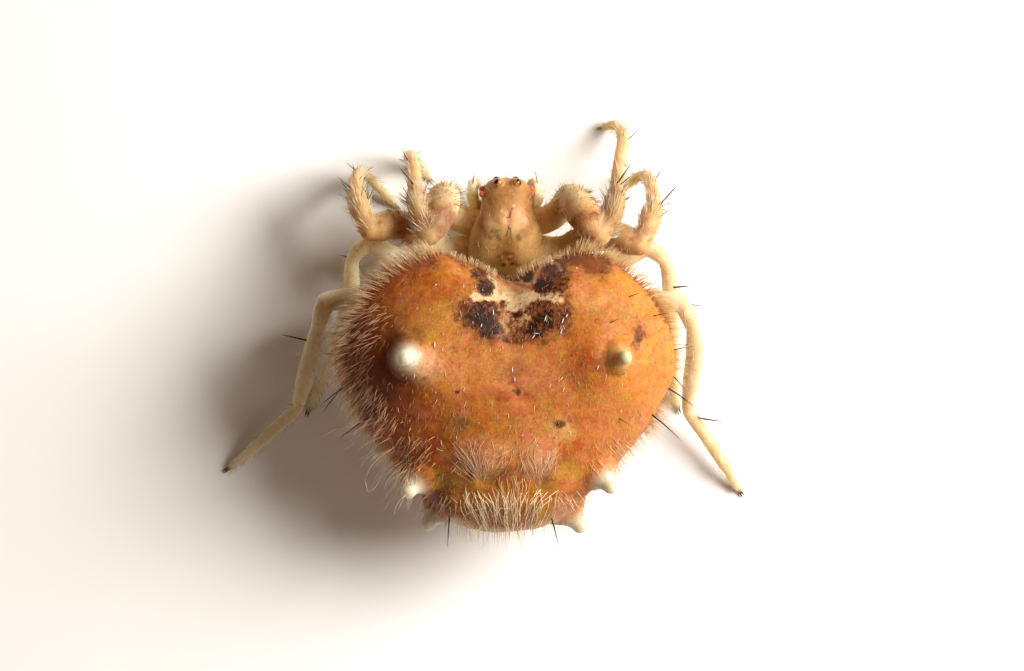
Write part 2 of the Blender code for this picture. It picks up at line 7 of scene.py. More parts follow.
import logging
import math
from dataclasses import dataclass, field
from enum import Enum

import bmesh
import bpy
import numpy as np
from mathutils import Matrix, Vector
from mathutils.bvhtree import BVHTree

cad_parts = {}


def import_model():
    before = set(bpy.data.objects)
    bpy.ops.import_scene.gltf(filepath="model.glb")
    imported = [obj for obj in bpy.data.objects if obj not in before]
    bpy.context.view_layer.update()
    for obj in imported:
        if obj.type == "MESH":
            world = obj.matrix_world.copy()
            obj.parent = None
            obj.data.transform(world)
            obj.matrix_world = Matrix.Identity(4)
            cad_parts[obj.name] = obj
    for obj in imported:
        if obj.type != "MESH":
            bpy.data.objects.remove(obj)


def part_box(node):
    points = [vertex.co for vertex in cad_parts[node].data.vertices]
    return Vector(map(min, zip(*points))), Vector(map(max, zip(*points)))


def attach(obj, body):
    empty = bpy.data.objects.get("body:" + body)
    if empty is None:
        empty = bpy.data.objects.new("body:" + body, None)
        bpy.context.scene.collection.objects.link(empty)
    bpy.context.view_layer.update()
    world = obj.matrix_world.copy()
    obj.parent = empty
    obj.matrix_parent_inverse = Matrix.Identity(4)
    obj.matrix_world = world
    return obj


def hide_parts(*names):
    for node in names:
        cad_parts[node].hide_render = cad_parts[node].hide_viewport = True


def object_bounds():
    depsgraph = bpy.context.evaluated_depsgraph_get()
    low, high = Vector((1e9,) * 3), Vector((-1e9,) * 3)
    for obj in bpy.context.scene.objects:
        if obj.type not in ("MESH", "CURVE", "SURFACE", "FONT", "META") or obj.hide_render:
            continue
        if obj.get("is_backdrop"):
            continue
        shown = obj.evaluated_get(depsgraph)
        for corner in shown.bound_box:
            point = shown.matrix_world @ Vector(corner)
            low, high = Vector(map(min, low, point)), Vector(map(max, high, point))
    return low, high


LOG = logging.getLogger("spider")

MM = 0.001
PROSOMA_FRONT = 3.42
PROSOMA_MIDDLE = 0.05
VIEW_LEAN = 3.0
LEAN_SHIFT = math.tan(math.radians(VIEW_LEAN))

Array = np.ndarray


def linear(code: str) -> Array:
    """Turn an sRGB hex colour into linear light.

    Args:
        code: Six hex digits, with or without a leading hash.

    Returns:
        Red, green and blue between 0 and 1.
    """
    digits = code.lstrip("#")
    shares = np.array([int(digits[place:place + 2], 16) / 255.0 for place in (0, 2, 4)])
    return np.where(shares <= 0.04045, shares / 12.92, ((shares + 0.055) / 1.055) ** 2.4)


def eased(values: Array | float, low: float, high: float) -> Array:
    """Rise smoothly from 0 at low to 1 at high.

    Args:
        values: What is measured.
        low: Where the rise starts.
        high: Where it ends.

    Returns:
        Shares between 0 and 1.
    """
    share = np.clip((np.asarray(values, float) - low) / (high - low), 0.0, 1.0)
    return share * share * (3.0 - 2.0 * share)


def unit(vectors: Array) -> Array:
    """Scale each row to a length of 1."""
    lengths = np.linalg.norm(vectors, axis=-1, keepdims=True)
    return vectors / np.maximum(lengths, 1e-12)


@dataclass(frozen=True)
class Grain:
    """Seeded smooth noise over points in millimetres."""

    seed: int = 1
    table: int = 1024

    def single(self, points: Array, size: float, shift: int = 0) -> Array:
        """Sample one octave.

        Args:
            points: Rows of x, y and z.
            size: Width of a feature in millimetres.
            shift: Which independent pattern to use.

        Returns:
            A value between -1 and 1 for each row.
        """
        rng = np.random.default_rng(self.seed + shift)
        values = rng.uniform(-1.0, 1.0, self.table)
        order = rng.permutation(self.table)
        scaled = points / size + 0.37 * (shift + 1)
        cell = np.floor(scaled).astype(int)
        share = scaled - cell
        share = share * share * (3.0 - 2.0 * share)
        total = np.zeros(len(points))
        for corner in np.ndindex(2, 2, 2):
            weight = np.prod(np.where(corner, share, 1.0 - share), axis=1)
            place = cell + np.array(corner)
            key = order[place[:, 0] % self.table]
            key = order[(key + place[:, 1]) % self.table]
            key = order[(key + place[:, 2]) % self.table]
            total += weight * values[key]
        return total

    def layered(self, points: Array, size: float, octaves: int = 3, shift: int = 0) -> Array:
        """Sum octaves, each half the size and half the strength of the last.

        Args:
            points: Rows of x, y and z.
            size: Width of the largest feature in millimetres.
            octaves: How many layers there are.
            shift: Which independent pattern to use.

        Returns:
            A value of about -1 to 1 for each row.
        """
        total = np.zeros(len(points))
        for layer in range(octaves):
            part = self.single(points, size / 2.0 ** layer, shift + 7 * layer)
            total += part * 0.5 ** layer
        return total / (2.0 - 0.5 ** (octaves - 1))


GRAIN = Grain()


class Side(Enum):
    """The two sides of the animal, as the sign of x."""

    LEFT = -1.0
    RIGHT = 1.0

    @property
    def word(self) -> str:
        """Name of the side, as the nodes' names spell it."""
        return self.name.lower()


class Region(Enum):
    """Parts of the skin that have their own finish, in the order of its material slots."""

    ABDOMEN = 0
    PROSOMA = 1
    LEG = 2
    TUBERCLE = 3


# Meshes


def new_object(name: str, points: Array, faces: list) -> bpy.types.Object:
    """Make a mesh object from points in millimetres.

    Args:
        name: Name of the object.
        points: Rows of x, y and z.
        faces: Corner numbers of each face.

    Returns:
        The object, linked to the scene.
    """
    mesh = bpy.data.meshes.new(name)
    mesh.from_pydata(np.asarray(points, float).tolist(), [], faces)
    made = bpy.data.objects.new(name, mesh)
    bpy.context.scene.collection.objects.link(made)
    return made


def stack_rings(name: str, rings: list[Array]) -> bpy.types.Object:
    """Close a stack of rings, of which the first and last may be single points.

    Args:
        name: Name of the object.
        rings: Arrays of points, all of one length apart from single points.

    Returns:
        The closed object with its faces pointing out.
    """
    starts = np.cumsum([0] + [len(ring) for ring in rings])
    faces = []
    for index in range(len(rings) - 1):
        low, high = len(rings[index]), len(rings[index + 1])
        for corner in range(max(low, high)):
            after = (corner + 1) % max(low, high)
            face = [
                starts[index] + corner % low,
                starts[index] + after % low,
                starts[index + 1] + after % high,
                starts[index + 1] + corner % high,
            ]
            faces.append(list(dict.fromkeys(int(number) for number in face)))
    for index in (0, len(rings) - 1):
        if len(rings[index]) > 2:
            faces.append([int(starts[index]) + corner for corner in range(len(rings[index]))])
    made = new_object(name, np.vstack(rings), faces)
    form = bmesh.new()
    form.from_mesh(made.data)
    bmesh.ops.recalc_face_normals(form, faces=form.faces[:])
    form.to_mesh(made.data)
    form.free()
    return made


def apply_modifiers(target: bpy.types.Object) -> None:
    """Replace a mesh with what its modifiers make of it."""
    graph = bpy.context.evaluated_depsgraph_get()
    result = bpy.data.meshes.new_from_object(target.evaluated_get(graph))
    target.modifiers.clear()
    target.data = result


def join(name: str, pieces: list[bpy.types.Object]) -> bpy.types.Object:
    """Gather several meshes into one object and delete the others.

    Args:
        name: Name of the new object.
        pieces: Objects to gather.

    Returns:
        One object that holds all their faces.
    """
    form = bmesh.new()
    for piece in pieces:
        form.from_mesh(piece.data)
        bpy.data.objects.remove(piece)
    mesh = bpy.data.meshes.new(name)
    form.to_mesh(mesh)
    form.free()
    made = bpy.data.objects.new(name, mesh)
    bpy.context.scene.collection.objects.link(made)
    return made


def fuse(name: str, pieces: list[bpy.types.Object], voxel: float, rounds: int) -> bpy.types.Object:
    """Melt overlapping shells into one skin.

    Args:
        name: Name of the new object.
        pieces: Closed shells that overlap.
        voxel: Width of the mesh's faces in millimetres.
        rounds: How often the result is smoothed.

    Returns:
        One closed and evenly meshed object.
    """
    made = join(name, pieces)
    remesh = made.modifiers.new("melt", "REMESH")
    remesh.mode = "VOXEL"
    remesh.voxel_size = voxel
    smooth = made.modifiers.new("smooth", "SMOOTH")
    smooth.factor = 0.5
    smooth.iterations = rounds
    apply_modifiers(made)
    return made


def unite(target: bpy.types.Object, others: list[bpy.types.Object]) -> None:
    """Add closed shells to a closed shell, leaving no faces inside."""
    crowd = bpy.data.collections.new("crowd")
    bpy.context.scene.collection.children.link(crowd)
    for other in others:
        crowd.objects.link(other)
    union = target.modifiers.new("union", "BOOLEAN")
    union.operation = "UNION"
    union.solver = "MANIFOLD"
    union.operand_type = "COLLECTION"
    union.collection = crowd
    apply_modifiers(target)
    for other in others:
        bpy.data.objects.remove(other)
    bpy.data.collections.remove(crowd)


def mesh_points(piece: bpy.types.Object) -> Array:
    """Read a mesh's corners as rows."""
    points = np.empty(len(piece.data.vertices) * 3, np.float32)
    piece.data.vertices.foreach_get("co", points)
    return points.reshape(-1, 3).astype(float)


def mesh_normals(piece: bpy.types.Object) -> Array:
    """Read a mesh's corner normals as rows."""
    normals = np.empty(len(piece.data.vertices) * 3, np.float32)
    piece.data.vertex_normals.foreach_get("vector", normals)
    return normals.reshape(-1, 3).astype(float)


def set_points(piece: bpy.types.Object, points: Array) -> None:
    """Write a mesh's corners from rows."""
    piece.data.vertices.foreach_set("co", points.astype(np.float32).ravel())
    piece.data.update()


def search_tree(piece: bpy.types.Object) -> BVHTree:
    """Make a search tree of a mesh's faces."""
    form = bmesh.new()
    form.from_mesh(piece.data)
    tree = BVHTree.FromBMesh(form)
    form.free()
    return tree


def paint(piece: bpy.types.Object, colours: Array, name: str = "markings") -> None:
    """Store one linear colour for each corner of a mesh.

    Args:
        piece: Object to paint.
        colours: Rows of red, green, blue and, where there are any, the share of dark specks.
        name: Name of the attribute.
    """
    layer = piece.data.color_attributes.new(name, "FLOAT_COLOR", "POINT")
    full = np.zeros((len(colours), 4), np.float32)
    full[:, :colours.shape[1]] = np.clip(colours, 0.0, 1.0)
    layer.data.foreach_set("color", full.ravel())


# Lines and tubes


def smooth_line(points: Array, steps: int) -> Array:
    """Sample a smooth curve that passes through every point.

    Args:
        points: Rows of x, y and z.
        steps: Samples from one point to the next.

    Returns:
        Rows along the curve, from the first point to the last.
    """
    knots = np.vstack([2.0 * points[0] - points[1], points, 2.0 * points[-1] - points[-2]])
    line = []
    for index in range(1, len(knots) - 2):
        before, start, end, after = knots[index - 1:index + 3]
        for share in np.arange(steps) / steps:
            line.append(
                0.5
                * (
                    2.0 * start
                    + (end - before) * share
                    + (2.0 * before - 5.0 * start + 4.0 * end - after) * share ** 2
                    + (3.0 * start - before - 3.0 * end + after) * share ** 3
                )
            )
    line.append(points[-1])
    return np.array(line)


@dataclass
class Tube:
    """A round limb along a smooth curve, with a radius that follows named stations."""

    points: Array
    stations: tuple
    steps: int = 12
    sides: int = 22
    outer: tuple = (1.0, 0.3, 0.0)
    line: Array = field(init=False)
    tangents: Array = field(init=False)
    dorsal: Array = field(init=False)
    lateral: Array = field(init=False)

    def __post_init__(self) -> None:
        """Sample the curve and carry side directions along it without twist."""
        self.line = smooth_line(np.asarray(self.points, float), self.steps)
        self.tangents = unit(np.gradient(self.line, axis=0))
        side = np.cross(self.tangents[0], (0.0, 0.0, 1.0))
        dorsal = []
        lateral = []
        for tangent in self.tangents:
            side = unit(side - tangent * side.dot(tangent))
            lateral.append(side)
            dorsal.append(np.cross(side, tangent))
        self.lateral = np.array(lateral)
        self.dorsal = np.array(dorsal)

    def radius(self, shares: Array | float) -> Array:
        """Radius at shares of the way along."""
        places, radii = zip(*self.stations)
        shares = np.clip(shares, 0.0, 1.0)
        index = np.clip(np.searchsorted(places, shares, side="right") - 1, 0, len(places) - 2)
        low = np.take(places, index)
        high = np.take(places, index + 1)
        blend = eased((shares - low) / (high - low), 0.0, 1.0)
        return np.take(radii, index) * (1.0 - blend) + np.take(radii, index + 1) * blend

    def surface(self, shares: Array, turns: Array) -> tuple[Array, Array, Array]:
        """Find places on the limb.

        Args:
            shares: Shares of the way along.
            turns: Angles from the upper side to the outer side in radians.

        Returns:
            Points, outward directions and directions along the limb.
        """
        place = np.clip(shares, 0.0, 1.0) * (len(self.line) - 1)
        low = np.minimum(place.astype(int), len(self.line) - 2)
        blend = (place - low)[:, None]
        centre = self.line[low] * (1.0 - blend) + self.line[low + 1] * blend
        along = self.tangents[low]
        upper = unit(np.array([0.0, 0.0, 1.0]) - along * along[:, 2:3])
        lateral = np.cross(along, upper)
        facing = np.where(lateral @ np.array(self.outer) < 0.0, -1.0, 1.0)
        lateral = lateral * facing[:, None]
        outward = upper * np.cos(turns)[:, None] + lateral * np.sin(turns)[:, None]
        reach = self.radius(shares)[:, None]
        return centre + outward * reach, outward, along

    def shell(self, name: str) -> bpy.types.Object:
        """Make the closed limb with domed ends."""
        count = len(self.line)
        turns = np.arange(self.sides) * math.tau / self.sides
        rings = []
        for index in range(count):
            reach = float(self.radius(index / (count - 1)))
            outward = np.outer(np.cos(turns), self.dorsal[index])
            outward = outward + np.outer(np.sin(turns), self.lateral[index])
            rings.append(self.line[index] + outward * reach)
        for end, sign in ((0, -1.0), (count - 1, 1.0)):
            reach = float(self.radius(end / (count - 1)))
            outward = (rings[0 if end == 0 else -1] - self.line[end]) / reach
            caps = []
            for lift in (30.0, 60.0):
                angle = math.radians(lift)
                centre = self.line[end] + self.tangents[end] * sign * reach * math.sin(angle)
                caps.append(centre + outward * reach * math.cos(angle))
            caps.append(self.line[end:end + 1] + self.tangents[end] * sign * reach)
            if end == 0:
                rings = caps[::-1] + rings
            else:
                rings = rings + caps
        return stack_rings(name, rings)


def ball(name: str, centre: Array, radius: float, sides: int = 20) -> bpy.types.Object:
    """Make a closed ball."""
    turns = np.arange(sides) * math.tau / sides
    rings = [centre[None, :] + np.array([[0.0, 0.0, radius]])]
    for lift in np.linspace(0.0, math.pi, sides // 2 + 1)[1:-1]:
        ring = np.stack([np.cos(turns) * math.sin(lift), np.sin(turns) * math.sin(lift)], 1)
        ring = np.column_stack([ring, np.full(sides, math.cos(lift))])
        rings.append(centre + ring * radius)
    rings.append(centre[None, :] - np.array([[0.0, 0.0, radius]]))
    return stack_rings(name, rings)


# Finishes


def add_node(
    tree: bpy.types.NodeTree,
    kind: str,
    settings: dict | None = None,
    links: dict | None = None,
) -> bpy.types.Node:
    """Add a node, set it up and link what feeds it.

    Args:
        tree: Node tree that gets the node.
        kind: Type of the node.
        settings: Values by name; a name of an input sets its value, another an attribute.
        links: Output sockets by the name or number of the input they feed.

    Returns:
        The new node.
    """
    node = tree.nodes.new(kind)
    for name, value in (settings or {}).items():
        if isinstance(name, str) and hasattr(node, name):
            setattr(node, name, value)
        else:
            node.inputs[name].default_value = value
    for name, socket in (links or {}).items():
        tree.links.new(socket, node.inputs[name])
    return node


@dataclass(frozen=True)
class Cuticle:
    """Spider cuticle: a thin horny shell over soft, pale flesh that light enters.

    The eye sees a satin surface with fine grain, pigment in specks, and a warm glow where the body
    is thin or lit from the side.
    """

    name: str
    roughness: float
    depth_mm: float
    glow: tuple[float, float, float]
    subsurface: float
    grain_mm: float
    wrinkle_mm: float
    bump_mm: float
    mottle: float
    hue_drift: float = 0.0
    drift_share: float = 2.6
    specular: float = 0.35
    speck_mm: float = 0.075
    speck_brown: str = "#6A3416"
    speck_black: str = "#1E0F0A"
    brown_from: tuple[float, float] = (0.61, 0.82)
    black_from: tuple[float, float] = (0.78, 0.98)
    speck_cover: float = 0.92

    def build(self) -> bpy.types.Material:
        """Make the material, whose colour is what the skin's markings say, mottled and specked."""
        material = bpy.data.materials.new(self.name)
        material.use_nodes = True
        tree = material.node_tree
        shader = tree.nodes["Principled BSDF"]
        shader.inputs["Subsurface Weight"].default_value = self.subsurface
        shader.inputs["Subsurface Radius"].default_value = self.glow
        shader.inputs["Subsurface Scale"].default_value = self.depth_mm * MM
        shader.inputs["IOR"].default_value = 1.45
        shader.inputs["Specular IOR Level"].default_value = self.specular
        place = add_node(tree, "ShaderNodeTexCoord")
        markings = add_node(tree, "ShaderNodeAttribute", {"attribute_name": "markings"})
        grain = self.noise(tree, place, self.grain_mm, 3.0)
        wrinkle = self.noise(tree, place, self.wrinkle_mm, 2.0)
        colour = self.pigment(tree, place, markings, grain)
        gloss = self.spread(tree, wrinkle, self.roughness - 0.1, self.roughness + 0.12)
        height = add_node(
            tree,
            "ShaderNodeMath",
            {"operation": "ADD"},
            {0: grain.outputs["Fac"], 1: wrinkle.outputs["Fac"]},
        )
        bump = add_node(
            tree,
            "ShaderNodeBump",
            {"Strength": 0.6, "Distance": self.bump_mm * MM},
            {"Height": height.outputs["Value"]},
        )
        tree.links.new(colour, shader.inputs["Base Color"])
        tree.links.new(gloss.outputs["Result"], shader.inputs["Roughness"])
        tree.links.new(bump.outputs["Normal"], shader.inputs["Normal"])
        return material

    def noise(
        self, tree: bpy.types.NodeTree, place: bpy.types.Node, size_mm: float, detail: float
    ) -> bpy.types.Node:
        """Add soft noise whose features have a size in millimetres."""
        return add_node(
            tree,
            "ShaderNodeTexNoise",
            {"Scale": 1.0 / (size_mm * MM), "Detail": detail, "Roughness": 0.6},
            {"Vector": place.outputs["Object"]},
        )

    def spread(
        self, tree: bpy.types.NodeTree, noise: bpy.types.Node, low: float, high: float
    ) -> bpy.types.Node:
        """Spread the usual range of a noise over a range of values."""
        return add_node(
            tree,
            "ShaderNodeMapRange",
            {"From Min": 0.3, "From Max": 0.7, "To Min": low, "To Max": high},
            {"Value": noise.outputs["Fac"]},
        )

    def pigment(
        self,
        tree: bpy.types.NodeTree,
        place: bpy.types.Node,
        markings: bpy.types.Node,
        grain: bpy.types.Node,
    ) -> bpy.types.NodeSocket:
        """Vary the markings' tone and hue, and lay dark specks where the markings ask for them."""
        tone = self.spread(tree, grain, 1.0 - self.mottle, 1.0 + self.mottle)
        drift = self.noise(tree, place, self.grain_mm * self.drift_share, 2.0)
        hue = self.spread(tree, drift, 0.5 - self.hue_drift, 0.5 + self.hue_drift)
        varied = add_node(
            tree,
            "ShaderNodeHueSaturation",
            {},
            {
                "Hue": hue.outputs["Result"],
                "Value": tone.outputs["Result"],
                "Color": markings.outputs["Color"],
            },
        )
        speck = self.noise(tree, place, self.speck_mm, 4.0)
        share = add_node(
            tree, "ShaderNodeMath", {"operation": "MULTIPLY", 1: 0.6}, {0: markings.outputs["Alpha"]}
        )
        total = add_node(
            tree, "ShaderNodeMath", {"operation": "ADD"}, {0: share.outputs[0], 1: speck.outputs["Fac"]}
        )
        browned = self.dotted(tree, varied.outputs["Color"], total, self.brown_from, self.speck_brown)
        return self.dotted(tree, browned, total, self.black_from, self.speck_black)

    def dotted(
        self,
        tree: bpy.types.NodeTree,
        ground: bpy.types.NodeSocket,
        total: bpy.types.Node,
        rise: tuple[float, float],
        code: str,
    ) -> bpy.types.NodeSocket:
        """Lay one colour of specks over the ground where the total rises over a range."""
        mask = add_node(
            tree,
            "ShaderNodeMapRange",
            {"From Min": rise[0], "From Max": rise[1], "To Min": 0.0, "To Max": self.speck_cover},
            {"Value": total.outputs[0]},
        )
        mixed = add_node(tree, "ShaderNodeMix", {"data_type": "RGBA"})
        colours = [socket for socket in mixed.inputs if socket.type == "RGBA"]
        colours[1].default_value = (*linear(code), 1.0)
        tree.links.new(mask.outputs["Result"], mixed.inputs["Factor"])
        tree.links.new(ground, colours[0])
        return next(socket for socket in mixed.outputs if socket.type == "RGBA")


@dataclass(frozen=True)
class Horn:
    """Hard, dark or clear horn of hairs, claws, fangs and eyes, grown smooth, with a clean gloss."""

    name: str
    roughness: float
    colour: str = ""
    coat: float = 0.0
    specular: float = 0.5
    streak_mm: float = 0.04
    subsurface: float = 0.0
    glow: tuple[float, float, float] = (1.0, 0.85, 0.6)
    depth_mm: float = 0.02
    streak_tone: float = 0.6

    def build(self) -> bpy.types.Material:
        """Make the material; with no colour of its own it takes the markings'."""
        material = bpy.data.materials.new(self.name)
        material.use_nodes = True
        tree = material.node_tree
        shader = tree.nodes["Principled BSDF"]
        shader.inputs["Roughness"].default_value = self.roughness
        shader.inputs["Coat Weight"].default_value = self.coat
        shader.inputs["Coat Roughness"].default_value = 0.03
        shader.inputs["Specular IOR Level"].default_value = self.specular
        shader.inputs["IOR"].default_value = 1.55
        shader.inputs["Subsurface Weight"].default_value = self.subsurface
        shader.inputs["Subsurface Radius"].default_value = self.glow
        shader.inputs["Subsurface Scale"].default_value = self.depth_mm * MM
        if not self.colour:
            markings = add_node(tree, "ShaderNodeAttribute", {"attribute_name": "markings"})
            tree.links.new(markings.outputs["Color"], shader.inputs["Base Color"])
            return material
        place = add_node(tree, "ShaderNodeTexCoord")
        streaks = add_node(
            tree,
            "ShaderNodeTexNoise",
            {"Scale": 1.0 / (self.streak_mm * MM), "Detail": 2.0},
            {"Vector": place.outputs["Object"]},
        )
        tones = add_node(tree, "ShaderNodeValToRGB", {}, {"Fac": streaks.outputs["Fac"]})
        stops = zip(tones.color_ramp.elements, (0.35, 0.65), (self.streak_tone, 1.0))
        for stop, position, tone in stops:
            stop.position = position
            stop.color = (*(linear(self.colour) * tone), 1.0)
        tree.links.new(tones.outputs["Color"], shader.inputs["Base Color"])
        return material


@dataclass(frozen=True)
class Card:
    """Matt white card, rolled smooth, which gives a plain bright floor."""

    name: str = "white card"
    colour: str = "#F6F5F3"
    roughness: float = 0.9
    specular: float = 0.1

    def build(self) -> bpy.types.Material:
        """Make the material, one tone all over."""
        material = bpy.data.materials.new(self.name)
        material.use_nodes = True
        shader = material.node_tree.nodes["Principled BSDF"]
        shader.inputs["Roughness"].default_value = self.roughness
        shader.inputs["Specular IOR Level"].default_value = self.specular
        shader.inputs["Base Color"].default_value = (*linear(self.colour), 1.0)
        return material


ABDOMEN_CUTICLE = Cuticle(
    name="abdomen cuticle",
    roughness=0.5,
    depth_mm=0.16,
    glow=(1.0, 0.45, 0.2),
    subsurface=0.3,
    grain_mm=0.045,
    wrinkle_mm=0.12,
    bump_mm=0.01,
    mottle=0.2,
    hue_drift=0.014,
    specular=0.2,
)
CARAPACE_CUTICLE = Cuticle(
    name="carapace cuticle",
    roughness=0.48,
    depth_mm=0.35,
    glow=(1.0, 0.68, 0.38),
    subsurface=0.85,
    grain_mm=0.06,
    wrinkle_mm=0.14,
    bump_mm=0.008,
    mottle=0.14,
    hue_drift=0.01,
    speck_mm=0.06,
    speck_brown="#6A4A20",
    speck_black="#2E2412",
)
LEG_CUTICLE = Cuticle(
    name="leg cuticle",
    roughness=0.46,
    depth_mm=0.5,
    glow=(1.0, 0.84, 0.6),
    subsurface=1.0,
    grain_mm=0.05,
    wrinkle_mm=0.12,
    bump_mm=0.006,
    mottle=0.1,
    hue_drift=0.008,
    specular=0.25,
)
TUBERCLE_CUTICLE = Cuticle(
    name="tubercle cuticle",
    roughness=0.4,
    depth_mm=0.3,
    glow=(1.0, 0.8, 0.55),
    subsurface=0.85,
    grain_mm=0.09,
    wrinkle_mm=0.2,
    bump_mm=0.006,
    mottle=0.06,
)
HAIR_HORN = Horn(name="hair", roughness=0.45, specular=0.25, subsurface=0.6)
EYE_LENS = Horn(name="eye lens", roughness=0.08, colour="#150B07", coat=0.3, streak_mm=0.05)
EYE_AMBER = Horn(name="amber eye", roughness=0.14, colour="#C87420", coat=0.3)
EYE_RED = Horn(name="lateral eye", roughness=0.3, colour="#D0683A", specular=0.15)
CLAW_HORN = Horn(name="claw horn", roughness=0.3, coat=0.3)


# Marks on the skin, as seen from the camera


@dataclass(frozen=True)
class Patch:
    """One mark: its middle and half sizes in millimetres, colour, and how its edge breaks up."""

    middle: tuple[float, float]
    reach: tuple[float, float]
    colour: str
    strength: float = 1.0
    soft: float = 0.25
    ragged: float = 0.3
    grain: float = 0.12
    specks: float = 0.0

    def distance(self, seen: Array) -> Array:
        """How far each seen point is from the middle, in shares of the patch's reach."""
        return np.linalg.norm((seen - np.array(self.middle)) / np.array(self.reach), axis=1)

    def weight(self, seen: Array, points: Array) -> Array:
        """How strongly the mark covers each point.

        Args:
            seen: Points as the camera sees them, in millimetres from the abdomen's middle.
            points: The same points in space, for the noise.

        Returns:
            Shares between 0 and the mark's strength.
        """
        distance = self.distance(seen)
        near = distance < 2.6
        weight = np.zeros(len(points))
        if near.any():
            broken = GRAIN.layered(points[near], self.grain, 2, 3) * self.ragged
            weight[near] = 1.0 - eased(distance[near] + broken, 1.0 - self.soft, 1.0 + self.soft)
        return weight * self.strength

    def speck_share(self, seen: Array) -> Array:
        """Share of dark specks, which reach past the mark's edge."""
        return self.specks * (1.0 - eased(self.distance(seen), 0.7, 1.75))


@dataclass(frozen=True)
class Stroke:
    """A mark along a line of points, with a half width in millimetres."""

    path: tuple
    half_width: float
    colour: str
    strength: float = 1.0
    soft: float = 0.4
    ragged: float = 0.25
    grain: float = 0.1
    specks: float = 0.0

    def distance(self, seen: Array) -> Array:
        """How far each seen point is from the line, in half widths."""
        distance = np.full(len(seen), 1e9)
        for start, end in zip(self.path, self.path[1:]):
            start = np.array(start)
            span = np.array(end) - start
            share = np.clip((seen - start) @ span / (span @ span), 0.0, 1.0)
            distance = np.minimum(distance, np.linalg.norm(seen - start - share[:, None] * span, axis=1))
        return distance / self.half_width

    def weight(self, seen: Array, points: Array) -> Array:
        """How strongly the mark covers each point, as a patch does."""
        distance = self.distance(seen)
        near = distance < 3.0
        weight = np.zeros(len(points))
        if near.any():
            broken = GRAIN.layered(points[near], self.grain, 2, 5) * self.ragged
            weight[near] = 1.0 - eased(distance[near] + broken, 1.0 - self.soft, 1.0 + self.soft)
        return weight * self.strength

    def speck_share(self, seen: Array) -> Array:
        """Share of dark specks, which reach past the mark's edge."""
        return self.specks * (1.0 - eased(self.distance(seen), 0.8, 2.2))


BLACK = "#140B08"
DARK_BROWN = "#43200F"
BROWN = "#6E3A1E"
CREAM = "#F0CE9C"

